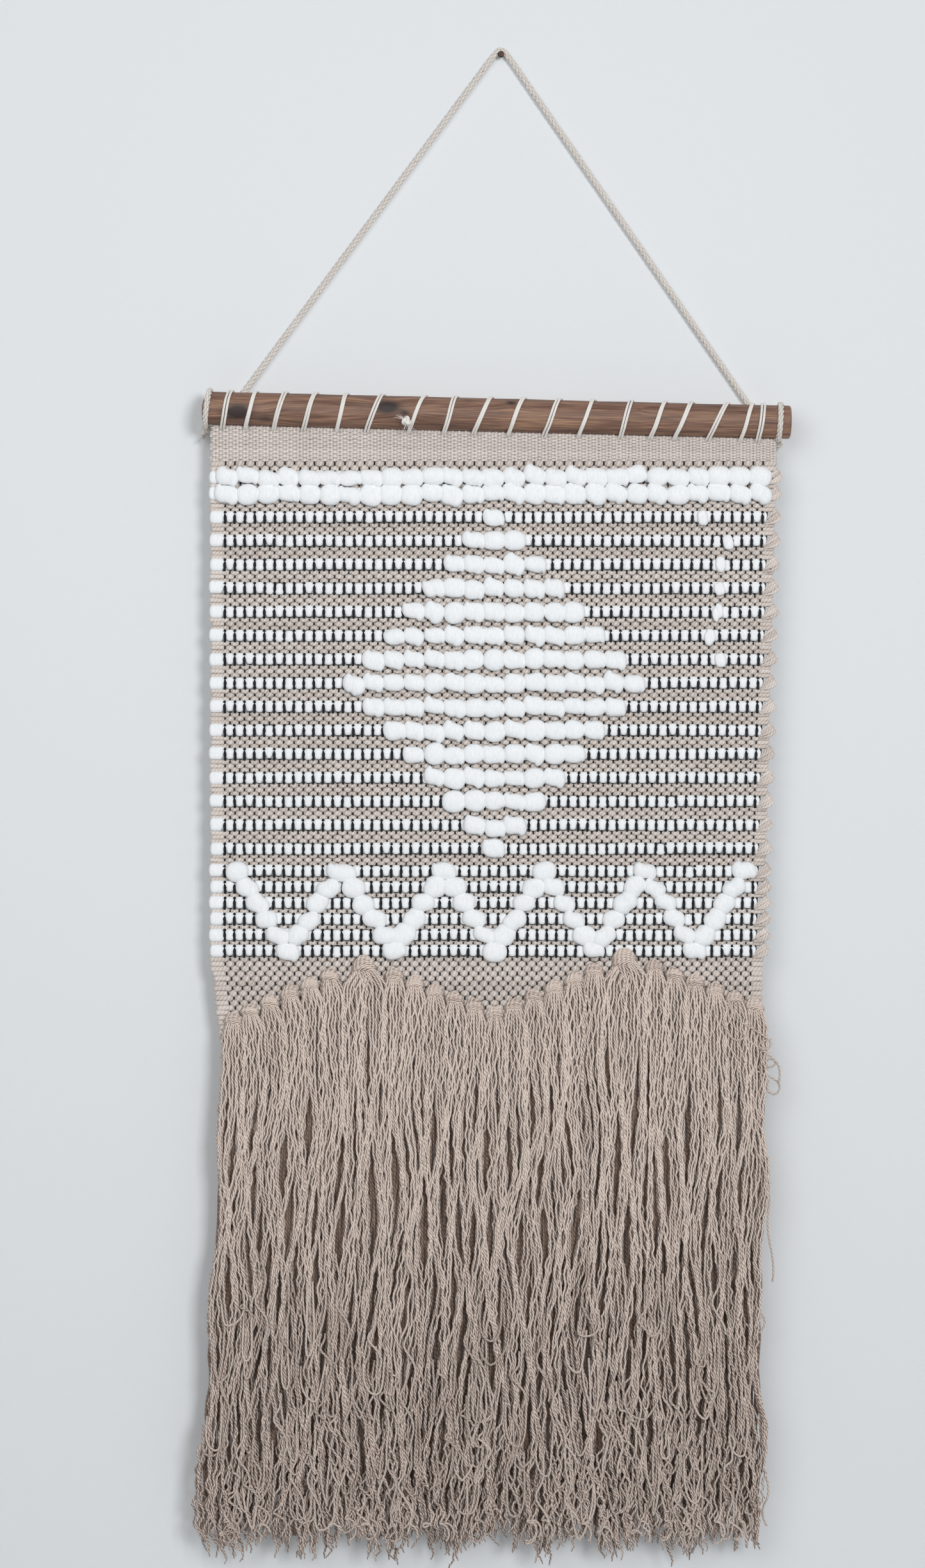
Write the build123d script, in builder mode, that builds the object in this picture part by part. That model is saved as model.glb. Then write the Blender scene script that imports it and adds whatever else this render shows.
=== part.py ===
from build123d import *
import math
import os

# A woven and tufted wall hanging on a natural stick, held up by a cord over one nail.
# The origin is on the nail's axis, in the face of the wall. +X runs to the right along
# the panel, +Z is up, and -Y comes out of the wall towards the room. Millimetres.

# Nail
nail_head_radius = 3.0
nail_head_thickness = 1.6
nail_neck_radius = 1.8
nail_neck_length = 7.6
nail_shank_radius = 1.4
nail_shank_length = 20.0
nail_tip_length = 4.0

# Hanging cord, drawn tight over the nail
cord_diameter = 6.0
cord_standoff = 4.4
cord_gap = 0.1
cord_bend_radius = 4.7
left_leg_angle = 53.4
left_leg_length = 460.0
right_leg_angle = 55.4
right_leg_length = 458.0

# Stick
stick_diameter = 32.0
stick_standoff = 30.0
stick_left = Vector(-286.0, -stick_standoff, -341.3)
stick_right = Vector(275.5, -stick_standoff, -355.3)
stick_bevel_angle = 18.0
stick_end_fillet = 3.5

# Hitches that tie the cord round the stick's ends
left_hitch_station = 5.2
right_hitch_station = 551.0
hitch_knot_radius = 7.5
hitch_knot_back = 20.5
hitch_knot_drop = 19.5

# Lacing that whips the panel's hem to the stick, with the steps between its turns
lacing_thickness = 4.0
lacing_gap = 0.3
lacing_drop = 30.0
lacing_first_station = 25.0
lacing_steps = [23, 28, 28, 30, 31, 41, 32, 31, 32, 34, 32, 38, 31, 24, 33, 28, 13]
lacing_knot_turn = 6
lacing_knot_radius = 5.0
lacing_knot_offset = 8.0
lacing_knot_reach = 21.5
lacing_knot_angle = 200.0

# Woven panel
ground_thickness = 5.0
ground_back = stick_standoff - ground_thickness / 2
panel_left_edge = -277.5
panel_right_edge = 262.5
hem_gap = 1.3
hem_bottom = -392.0
weave_bottom = -962.0
right_taper = 0.0265
left_taper = 0.125
left_taper_start = -870.0

# Warp threads, drawn on the back of the weft that crosses them
warp_count = 113
warp_width = 1.6
warp_thickness = 1.2
warp_edge_inset = 3.0

# Rows of jersey yarn and the tufts on them
jersey_height = 10.6
jersey_thickness = 7.5
tuft_pitch = 19.05
full_row_pitch = 19.5
panel_middle = -6.8
tufted_top = -407.5
tufted_pitch = 16.1
tufted_rows = 2
tufts_per_full_row = 27
full_row_tuft_radius = 7.8
diamond_top = -445.9
diamond_pitch = 22.55
diamond_rows = 15
diamond_tuft_radius = 9.2
zigzag_top = -782.9
zigzag_pitch = 15.2
zigzag_rows = 6
zigzag_valleys = 5
zigzag_tuft_radius = 8.6

# Tassels, each knotted round four warps
tassel_count = 27
knot_width = 18.4
knot_height = 9.5
knot_depth = 12.0
knot_peak = -865.0
knot_step = 7.9
knot_peak_place = 6.6
knot_rise_to_right = 0.027
head_width = 17.0
hinge_height = -934.0
hinge_gap = 0.5
tassel_thickness = 12.0
tassel_standoff = 33.0
tassel_top_width = 18.2
tassel_bottom_width = 18.2
tassel_bottom_thickness = 20.0
tassel_bottom_middle = -20.5
tassel_bottom_pitch = 19.6
tassel_bottom = -1424.0
tassel_unevenness = 9.0

os.makedirs("parts", exist_ok=True)


def finish(piece, name):
    """Label a finished piece and write its STEP file."""
    piece.part.label = name
    export_step(piece.part, f"parts/{name}.step")


stick_run = stick_right - stick_left
stick_axis = stick_run.normalized()
stick_length = stick_run.length
stick_radius = stick_diameter / 2


def stick_section(station):
    """Plane across the stick, its local x towards the wall and its local y upwards."""
    return Plane(origin=stick_left + stick_axis * station, x_dir=(0, 1, 0), z_dir=stick_axis)


def stick_height(x):
    """Height of the stick's axis at a place along X."""
    return stick_left.Z + (x - stick_left.X) * stick_run.Z / stick_run.X


def left_edge(z):
    """The panel's left selvedge draws in a little below the last jersey row."""
    return panel_left_edge + max(0.0, left_taper_start - z) * left_taper


def right_edge(z):
    """The panel's right selvedge leans in all the way down."""
    return panel_right_edge - (hem_bottom - z) * right_taper


# Wall nail: flat head, a thicker neck for the cord, and the shank and point in the wall
head_back = -nail_neck_length
head_front = head_back - nail_head_thickness
with BuildPart() as wall_nail:
    with BuildSketch(Plane.XY):
        with BuildLine():
            Polyline(
                (0, head_front),
                (nail_head_radius - 0.5, head_front),
                (nail_head_radius, head_front + 0.5),
                (nail_head_radius, head_back),
                (nail_neck_radius, head_back),
                (nail_neck_radius, 0),
                (nail_shank_radius, 0),
                (nail_shank_radius, nail_shank_length),
                (0, nail_shank_length + nail_tip_length),
                close=True,
            )
        make_face()
    revolve(axis=Axis.Y)
finish(wall_nail, "wall_nail")

# Hanging cord: two straight legs tangent to a small circle round the nail's neck
bend_circle = nail_neck_radius + cord_diameter / 2 + cord_gap


def leg_corner(angle, side):
    """Where a leg's line meets the level line over the nail."""
    return Vector(side * bend_circle * math.tan(math.radians(angle) / 2), -cord_standoff, bend_circle)


def leg_end(angle, length, side):
    """Lower end of a leg that falls away from the nail at an angle to the level."""
    fall = math.radians(angle)
    run = Vector(side * math.cos(fall), 0, -math.sin(fall))
    return leg_corner(angle, side) + run * length


cord_points = [
    leg_end(left_leg_angle, left_leg_length, -1),
    leg_corner(left_leg_angle, -1),
    leg_corner(right_leg_angle, 1),
    leg_end(right_leg_angle, right_leg_length, 1),
]
cord_radii = [cord_bend_radius, cord_bend_radius]
with BuildPart() as hanging_cord:
    with BuildLine() as cord_path:
        FilletPolyline(*cord_points, radius=cord_radii)
    with BuildSketch(Plane(origin=cord_path.line @ 0, z_dir=cord_path.line % 0)):
        Circle(cord_diameter / 2)
    sweep()
finish(hanging_cord, "hanging_cord")
cord_section = math.pi * (cord_diameter / 2) ** 2
cord_length = cord_path.wires()[0].length
print("cord bend radii", cord_radii, "length", round(cord_length, 1))
print("cord volume over section times length", hanging_cord.part.volume / (cord_section * cord_length))

# Stick: a peeled branch, sawn at a slant on the left and worn round on the right
slant = Plane(origin=stick_left + Vector(2, 0, 0), x_dir=(0, 1, 0), z_dir=stick_axis)
slant = slant.rotated((stick_bevel_angle, 0, 0))
with BuildPart() as hanging_stick:
    with BuildSketch(stick_section(0)):
        Circle(stick_radius)
    extrude(amount=stick_length)
    fillet(hanging_stick.faces().sort_by(Axis.X)[-1].edges(), radius=stick_end_fillet)
    split(bisect_by=slant, keep=Keep.TOP)
finish(hanging_stick, "hanging_stick")

# Hitches: one turn of cord round the stick and the knot behind and under it
hitch_ring_radius = stick_radius + cord_diameter / 2


def make_hitch(name, station):
    """A ring of cord round the stick, with its knot between the stick and the wall."""
    centre = stick_section(station).origin
    knot = centre + Vector(0, hitch_knot_back, -hitch_knot_drop)
    with BuildPart() as hitch:
        with Locations(stick_section(station)):
            Torus(hitch_ring_radius, cord_diameter / 2 - 0.1)
        with Locations(knot):
            Sphere(hitch_knot_radius)
    finish(hitch, name)


make_hitch("cord_hitch_left", left_hitch_station)
make_hitch("cord_hitch_right", right_hitch_station)

# Lacing: loops of twine round the stick that come together in the hem under it
loop_inner = stick_radius + lacing_gap
loop_outer = loop_inner + lacing_thickness
tip_inner = 1.0
tip_outer = tip_inner + lacing_thickness
loop_outlines = [(loop_outer, tip_outer, Mode.ADD), (loop_inner, tip_inner, Mode.SUBTRACT)]
stations = [lacing_first_station]
for step in lacing_steps:
    stations.append(stations[-1] + step)
with BuildPart() as lacing_twine:
    for station in stations:
        with BuildSketch(stick_section(station - lacing_thickness / 2)):
            for top_radius, tip_radius, mode in loop_outlines:
                slope = math.asin((top_radius - tip_radius) / lacing_drop)
                side = Vector(math.cos(slope), -math.sin(slope))
                tip = Vector(0, -lacing_drop)
                mirrored = Vector(-side.X, side.Y)
                Circle(top_radius, mode=mode)
                with Locations(tip):
                    Circle(tip_radius, mode=mode)
                with BuildLine():
                    Polyline(
                        side * top_radius,
                        tip + side * tip_radius,
                        tip + mirrored * tip_radius,
                        mirrored * top_radius,
                        close=True,
                    )
                make_face(mode=mode)
        extrude(amount=lacing_thickness)
    knot_turn = math.radians(lacing_knot_angle)
    knot_place = (lacing_knot_reach * math.cos(knot_turn), lacing_knot_reach * math.sin(knot_turn))
    with Locations(stick_section(stations[lacing_knot_turn] - lacing_knot_offset) * Location(knot_place)):
        Sphere(lacing_knot_radius)
finish(lacing_twine, "lacing_twine")

# Hem band: a wedge of close weave between the slanting stick and the level rows
with BuildPart() as hem_band:
    with BuildSketch(Plane.XZ.offset(ground_back)):
        with BuildLine():
            Polyline(
                (panel_left_edge, hem_bottom),
                (panel_right_edge, hem_bottom),
                (panel_right_edge - 2, stick_height(panel_right_edge) - stick_radius - hem_gap),
                (panel_left_edge, stick_height(panel_left_edge) - stick_radius - hem_gap),
                close=True,
            )
        make_face()
    extrude(amount=ground_thickness)
finish(hem_band, "hem_band")


def band_corners(top, bottom):
    """Corners of a flat band right across the panel between two heights."""
    return [
        (left_edge(bottom), bottom),
        (right_edge(bottom), bottom),
        (right_edge(top), top),
        (left_edge(top), top),
    ]


# Heights of the jersey rows, from the top down
row_heights = [tufted_top - i * tufted_pitch for i in range(tufted_rows)]
row_heights += [diamond_top - i * diamond_pitch for i in range(diamond_rows)]
row_heights += [zigzag_top - i * zigzag_pitch for i in range(zigzag_rows)]

# Ground weave: the tan weft between the jersey rows, and the deep border under them
ground_tops = [hem_bottom] + [height - jersey_height / 2 for height in row_heights]
ground_bottoms = [height + jersey_height / 2 for height in row_heights] + [weave_bottom]
with BuildPart() as ground_weave:
    with BuildSketch(Plane.XZ.offset(ground_back)):
        for top, bottom in zip(ground_tops, ground_bottoms):
            with BuildLine():
                Polyline(*band_corners(top, bottom), close=True)
            make_face()
    extrude(amount=ground_thickness)
finish(ground_weave, "ground_weave")

# Warp threads: thin dark threads from the hem to the end of the weave
with BuildPart() as warp_threads:
    with BuildSketch(Plane.XZ.offset(ground_back)):
        for i in range(warp_count):
            share = i / (warp_count - 1)
            upper_span = right_edge(hem_bottom) - left_edge(hem_bottom) - 2 * warp_edge_inset
            lower_span = right_edge(weave_bottom) - left_edge(weave_bottom) - 2 * warp_edge_inset
            upper = left_edge(hem_bottom) + warp_edge_inset + share * upper_span
            lower = left_edge(weave_bottom) + warp_edge_inset + share * lower_span
            half = warp_width / 2
            with BuildLine():
                Polyline(
                    (lower - half, weave_bottom),
                    (lower + half, weave_bottom),
                    (upper + half, hem_bottom),
                    (upper - half, hem_bottom),
                    close=True,
                )
            make_face()
    extrude(amount=-warp_thickness)
finish(warp_threads, "warp_threads")


def centred_run(count, pitch):
    """Places of a run of tufts, one pitch apart, about the panel's middle."""
    return [panel_middle + pitch * (i - (count - 1) / 2) for i in range(count)]


def zigzag_places(row):
    """Tufts of one zigzag row: each valley's two flanks close in by half a pitch a row."""
    spread = (zigzag_rows - 1 - row) * tuft_pitch / 2
    period = (zigzag_rows - 1) * tuft_pitch
    places = []
    for i in range(zigzag_valleys):
        valley = panel_middle + period * (i - (zigzag_valleys - 1) / 2)
        places += [valley - spread, valley + spread]
    return sorted({round(place, 3) for place in places})


tuft_rows = [(centred_run(tufts_per_full_row, full_row_pitch), full_row_tuft_radius)] * tufted_rows
for i in range(diamond_rows):
    reach = min(i, diamond_rows - 1 - i)
    tuft_rows.append((centred_run(2 * reach + 1, tuft_pitch), diamond_tuft_radius))
for i in range(zigzag_rows):
    tuft_rows.append((zigzag_places(i), zigzag_tuft_radius))

# Jersey rows: a soft white bar right across the panel, with its tufts standing on the front
jersey_front = ground_back + jersey_thickness
for number, (height, (places, radius)) in enumerate(zip(row_heights, tuft_rows), start=1):
    with BuildPart() as jersey_row:
        with BuildSketch(Plane.XZ.offset(ground_back)):
            with BuildLine():
                Polyline(*band_corners(height + jersey_height / 2, height - jersey_height / 2), close=True)
            make_face()
        extrude(amount=jersey_thickness)
        with Locations(Plane.XZ.offset(jersey_front)):
            with Locations([(place, height) for place in places]):
                Sphere(radius, arc_size1=0, arc_size2=90, align=(Align.CENTER, Align.CENTER, Align.MIN))
    finish(jersey_row, f"jersey_row_{number:02d}")


def knot_x(k):
    """Place of a tassel's knot along the panel."""
    return panel_middle + tuft_pitch * (k - (tassel_count - 1) / 2)


def knot_z(k):
    """Height of a knot: two peaks and a valley, higher towards the right."""
    from_middle = abs(k - (tassel_count - 1) / 2)
    return knot_peak + knot_rise_to_right * knot_x(k) - knot_step * abs(from_middle - knot_peak_place)


# Tassel knots: each wraps four warps and sends its strands down to the swing line
head_bottom = hinge_height + tassel_thickness / 2 + hinge_gap
with BuildPart() as tassel_knots:
    with BuildSketch(Plane.XZ.offset(ground_back + ground_thickness)):
        for k in range(tassel_count):
            head_length = knot_z(k) - head_bottom
            with Locations((knot_x(k), knot_z(k))):
                SlotOverall(knot_width, knot_height)
            with Locations((knot_x(k), head_bottom + head_length / 2)):
                Rectangle(head_width, head_length)
    extrude(amount=knot_depth)
finish(tassel_knots, "tassel_knots")

# Tassels: the hanging strands of each knot, round at the top where they swing
tassel_y = -tassel_standoff - tassel_thickness / 2
tassel_bottom_y = -tassel_standoff - tassel_bottom_thickness / 2
for k in range(tassel_count):
    from_middle = k - (tassel_count - 1) / 2
    bottom_x = tassel_bottom_middle + tassel_bottom_pitch * from_middle
    bottom_z = tassel_bottom - tassel_unevenness * math.sin(1.7 * k)
    with BuildPart() as tassel:
        with BuildSketch(Plane.XY.offset(hinge_height)):
            with Locations((knot_x(k), tassel_y)):
                Rectangle(tassel_top_width, tassel_thickness)
        with BuildSketch(Plane.XY.offset(bottom_z)):
            with Locations((bottom_x, tassel_bottom_y)):
                Rectangle(tassel_bottom_width, tassel_bottom_thickness)
        loft(ruled=True)
        with Locations(Plane(origin=(knot_x(k), tassel_y, hinge_height), x_dir=(0, 1, 0), z_dir=(1, 0, 0))):
            Cylinder(tassel_thickness / 2, tassel_top_width)
    finish(tassel, f"tassel_{k + 1:02d}")
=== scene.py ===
import math

import bpy
import numpy as np
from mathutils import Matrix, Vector


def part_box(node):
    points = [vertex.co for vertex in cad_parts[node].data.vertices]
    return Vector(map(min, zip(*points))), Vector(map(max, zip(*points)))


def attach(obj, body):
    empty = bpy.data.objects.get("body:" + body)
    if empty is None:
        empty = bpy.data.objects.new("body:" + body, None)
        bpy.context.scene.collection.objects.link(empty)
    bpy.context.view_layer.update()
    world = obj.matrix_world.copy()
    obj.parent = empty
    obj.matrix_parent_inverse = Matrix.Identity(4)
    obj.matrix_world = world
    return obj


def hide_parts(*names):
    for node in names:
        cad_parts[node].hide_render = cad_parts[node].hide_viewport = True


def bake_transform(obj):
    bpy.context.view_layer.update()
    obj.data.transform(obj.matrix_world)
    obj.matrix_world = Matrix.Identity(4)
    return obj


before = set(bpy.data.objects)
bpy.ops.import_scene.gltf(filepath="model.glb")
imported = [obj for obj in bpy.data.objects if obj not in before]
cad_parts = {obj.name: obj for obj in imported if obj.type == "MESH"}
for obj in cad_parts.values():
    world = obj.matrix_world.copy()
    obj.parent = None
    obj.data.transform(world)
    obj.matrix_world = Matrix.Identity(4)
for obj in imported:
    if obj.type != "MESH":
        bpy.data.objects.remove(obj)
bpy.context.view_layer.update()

MM = 0.001

# ---------------------------------------------------------------------------
# Room: a pale painted wall that the nail is driven into, a pale floor well below
# the fringe, and soft daylight from a large window on the right.
# ---------------------------------------------------------------------------


def colour(code):
    """Linear colour of an sRGB hex value: each channel c becomes ((c + 0.055) / 1.055) ** 2.4."""
    channels = [int(code[i:i + 2], 16) / 255 for i in (0, 2, 4)]
    linear = [c / 12.92 if c <= 0.04045 else ((c + 0.055) / 1.055) ** 2.4 for c in channels]
    return (*linear, 1.0)


def add_node(tree, kind, inputs=None, **settings):
    """Add a node, set its own settings, and set or link its inputs by name or number."""
    made = tree.nodes.new(kind)
    for name, value in settings.items():
        setattr(made, name, value)
    for name, value in (inputs or {}).items():
        if isinstance(value, bpy.types.NodeSocket):
            tree.links.new(value, made.inputs[name])
        else:
            made.inputs[name].default_value = value
    return made


def new_material(name):
    """An empty material: returns it, its node tree and its output node."""
    material = bpy.data.materials.new(name)
    material.use_nodes = True
    material.node_tree.nodes.clear()
    output = add_node(material.node_tree, "ShaderNodeOutputMaterial")
    return material, material.node_tree, output


def stage_plane(name, corners, material):
    """A flat four-cornered backdrop that isn't part of the object."""
    mesh = bpy.data.meshes.new(name)
    mesh.from_pydata(corners, [], [(0, 1, 2, 3)])
    mesh.materials.append(material)
    plane = bpy.data.objects.new(name, mesh)
    bpy.context.scene.collection.objects.link(plane)
    return plane


def wall_paint():
    """Matt emulsion with a faint roller stipple; its back face is clear, so that rear views see past it."""
    material, tree, output = new_material("matt wall paint")
    place = add_node(tree, "ShaderNodeTexCoord").outputs["Object"]
    stipple = add_node(tree, "ShaderNodeTexNoise", {"Vector": place, "Scale": 420.0, "Detail": 3.0})
    bump = add_node(tree, "ShaderNodeBump", {"Height": stipple.outputs[0], "Strength": 0.12,
                                             "Distance": 0.0006})
    paint = add_node(tree, "ShaderNodeBsdfPrincipled", {
        "Base Color": colour("E3E6E8"), "Roughness": 0.85, "IOR": 1.45, "Normal": bump.outputs[0]})
    clear = add_node(tree, "ShaderNodeBsdfTransparent")
    behind = add_node(tree, "ShaderNodeNewGeometry").outputs["Backfacing"]
    mix = add_node(tree, "ShaderNodeMixShader", {0: behind, 1: paint.outputs[0], 2: clear.outputs[0]})
    tree.links.new(mix.outputs[0], output.inputs["Surface"])
    return material


def floor_paint():
    """Pale sealed floor with a slight unevenness in its sheen."""
    material, tree, output = new_material("pale sealed floor")
    place = add_node(tree, "ShaderNodeTexCoord").outputs["Object"]
    patches = add_node(tree, "ShaderNodeTexNoise", {"Vector": place, "Scale": 3.0, "Detail": 4.0})
    sheen = add_node(tree, "ShaderNodeMapRange", {0: patches.outputs[0], "To Min": 0.55, "To Max": 0.7})
    paint = add_node(tree, "ShaderNodeBsdfPrincipled", {
        "Base Color": colour("DDDEDF"), "Roughness": sheen.outputs[0], "IOR": 1.45})
    tree.links.new(paint.outputs[0], output.inputs["Surface"])
    return material


wall_half_width, wall_top, floor_height, floor_front = 2.6, 1.1, -2.05, -4.5
wall = stage_plane("wall", [
    (-wall_half_width, 0, floor_height), (wall_half_width, 0, floor_height),
    (wall_half_width, 0, wall_top), (-wall_half_width, 0, wall_top)], wall_paint())
wall.visible_shadow = False
stage_plane("floor", [
    (-wall_half_width, floor_front, floor_height), (wall_half_width, floor_front, floor_height),
    (wall_half_width, 0.9, floor_height), (-wall_half_width, 0.9, floor_height)], floor_paint())


def soft_light(name, place, aim, size, spread, power, tint):
    """A square area light at place, turned to face aim, its beam fading out at half its spread in
    degrees."""
    lamp = bpy.data.lights.new(name, "AREA")
    lamp.size = size
    lamp.spread = math.radians(spread)
    lamp.energy = power
    lamp.color = colour(tint)[:3]
    made = bpy.data.objects.new(name, lamp)
    made.location = place
    direction = Vector(aim) - Vector(place)
    made.rotation_mode = "QUATERNION"
    made.rotation_quaternion = direction.to_track_quat("-Z", "Y")
    bpy.context.scene.collection.objects.link(made)


soft_light("window", (2.3, -6.2, 0.6), (0.05, 0, -0.42), 1.7, 70, 30.5, "FCFDFF")
soft_light("room_fill", (-1.0, -2.8, 0.3), (0, 0, -0.42), 2.0, 120, 13.5, "FDFEFF")
soft_light("rear_fill", (0.8, 2.2, -0.2), (0, 0, -0.65), 1.8, 180, 14.0, "FFFFFF")

world = bpy.data.worlds.new("pale room")
bpy.context.scene.world = world
world.use_nodes = True
world.node_tree.nodes["Background"].inputs["Color"].default_value = colour("ECECEC")
world.node_tree.nodes["Background"].inputs["Strength"].default_value = 0.34
bpy.context.scene.view_settings.view_transform = "Standard"

# The camera faces the wall squarely from 3.5 m, its long side taking in 1.494 m of the panel's plane.
camera_distance, view_height, sensor_long_side = 3.5, 1.494, 36.0
cloth_plane = (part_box("ground_weave")[0].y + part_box("ground_weave")[1].y) / 2
camera_data = bpy.data.cameras.new("camera")
camera_data.sensor_width = sensor_long_side
camera_data.lens = sensor_long_side * camera_distance / view_height
camera = bpy.data.objects.new("camera", camera_data)
camera.location = (-0.0369, cloth_plane - camera_distance, -0.6997)
camera.rotation_euler = (math.pi / 2, 0, 0)
bpy.context.scene.collection.objects.link(camera)
bpy.context.scene.camera = camera

# ---------------------------------------------------------------------------
# Hanging cord: undyed three-strand cotton cord, 6 mm thick, drawn tight by the
# panel's weight over the nail's neck and tied round both ends of the stick.
# ---------------------------------------------------------------------------


def skin(name, points, along, shade, material, body=None):
    """One mesh of closed tubes from their surface points.

    points is (tubes, rings, sides, 3), with each ring turning by the right hand about the
    tube's own direction; along is (tubes, rings), the metres run, which becomes the UV map's
    U while V is the share of the way round; shade is one number a tube, kept as an attribute.
    """
    tubes, rings, sides = points.shape[:3]
    index = np.arange(tubes * rings * sides).reshape(tubes, rings, sides)
    turned = np.roll(index, -1, axis=2)
    quads = np.stack([index[:, :-1], turned[:, :-1], turned[:, 1:], index[:, 1:]], axis=-1).reshape(-1, 4)
    caps = np.concatenate([index[:, 0, ::-1], index[:, -1]]).reshape(-1, sides)
    corners = np.concatenate([quads.ravel(), caps.ravel()])
    sizes = np.concatenate([np.full(len(quads), 4), np.full(len(caps), sides)])

    run = np.broadcast_to(along[:, :, None], (tubes, rings, sides))
    low, high = run[:, :-1], run[:, 1:]
    start = np.broadcast_to(np.arange(sides) / sides, low.shape)
    end = start + 1.0 / sides
    quad_u = np.stack([low, low, high, high], axis=-1)
    quad_v = np.stack([start, end, end, start], axis=-1)
    cap_u = np.concatenate([run[:, 0], run[:, -1]])
    cap_v = np.broadcast_to(np.arange(sides) / sides, cap_u.shape)
    uv = np.stack([np.concatenate([quad_u.ravel(), cap_u.ravel()]),
                   np.concatenate([quad_v.ravel(), cap_v.ravel()])], axis=-1)

    mesh = bpy.data.meshes.new(name)
    mesh.vertices.add(tubes * rings * sides)
    mesh.vertices.foreach_set("co", points.astype(np.float32).ravel())
    mesh.loops.add(len(corners))
    mesh.loops.foreach_set("vertex_index", corners.astype(np.int32))
    mesh.polygons.add(len(sizes))
    mesh.polygons.foreach_set("loop_start", (np.cumsum(sizes) - sizes).astype(np.int32))
    smooth = np.concatenate([np.ones(len(quads), bool), np.zeros(len(caps), bool)])
    mesh.polygons.foreach_set("use_smooth", smooth)
    mesh.uv_layers.new(name="run").data.foreach_set("uv", uv.astype(np.float32).ravel())
    tone = mesh.attributes.new("shade", "FLOAT", "POINT")
    tone.data.foreach_set("value", np.repeat(shade, rings * sides).astype(np.float32))
    mesh.update(calc_edges=True)
    mesh.materials.append(material)
    piece = bpy.data.objects.new(name, mesh)
    bpy.context.scene.collection.objects.link(piece)
    if body:
        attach(piece, body)
    return piece


def unit(vectors):
    """Vectors scaled to length one."""
    return vectors / np.maximum(np.linalg.norm(vectors, axis=-1, keepdims=True), 1e-12)


def frames(paths, across):
    """Side and outward axes at each path point: side is direction x across, and the third axis is
    direction x side, so the ring side -> third turns by the right hand."""
    direction = unit(np.gradient(paths, axis=1))
    side = unit(np.cross(direction, np.broadcast_to(across, paths.shape)))
    third = np.cross(direction, side)
    return side, third


def run_length(paths):
    """Metres run along each path at each of its points."""
    steps = np.linalg.norm(np.diff(paths, axis=1), axis=-1)
    return np.concatenate([np.zeros((len(paths), 1)), np.cumsum(steps, axis=1)], axis=1)


def yarn_points(paths, across, width, depth, sides, square=1.0):
    """Rings of an ellipse round each path point: side * width/2 * cos a + third * depth/2 * sin a,
    with the cosine and sine raised to the power square, which is under 1 for a squarer ring."""
    side, third = frames(paths, across)
    angle = np.arange(sides) * 2 * math.pi / sides
    wide, deep = (np.sign(v) * np.abs(v) ** square for v in (np.cos(angle), np.sin(angle)))
    width, depth = (np.broadcast_to(v, paths.shape[:2])[:, :, None, None] for v in (width, depth))
    ring = side[:, :, None] * wide[:, None] * width / 2 + third[:, :, None] * deep[:, None] * depth / 2
    return paths[:, :, None] + ring


def strands_round(paths, across, count, offset, lay):
    """Strand paths that wind round each path: centre + offset * (side cos w + third sin w), where
    w turns once in each lay of the path and the strands start evenly round it."""
    side, third = frames(paths, across)
    start = np.arange(count)[None, :, None] * 2 * math.pi / count
    turn = (start + run_length(paths)[:, None] * 2 * math.pi / lay)[..., None]
    wound = paths[:, None] + offset * (side[:, None] * np.cos(turn) + third[:, None] * np.sin(turn))
    return wound.reshape(-1, *paths.shape[1:])


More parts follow.
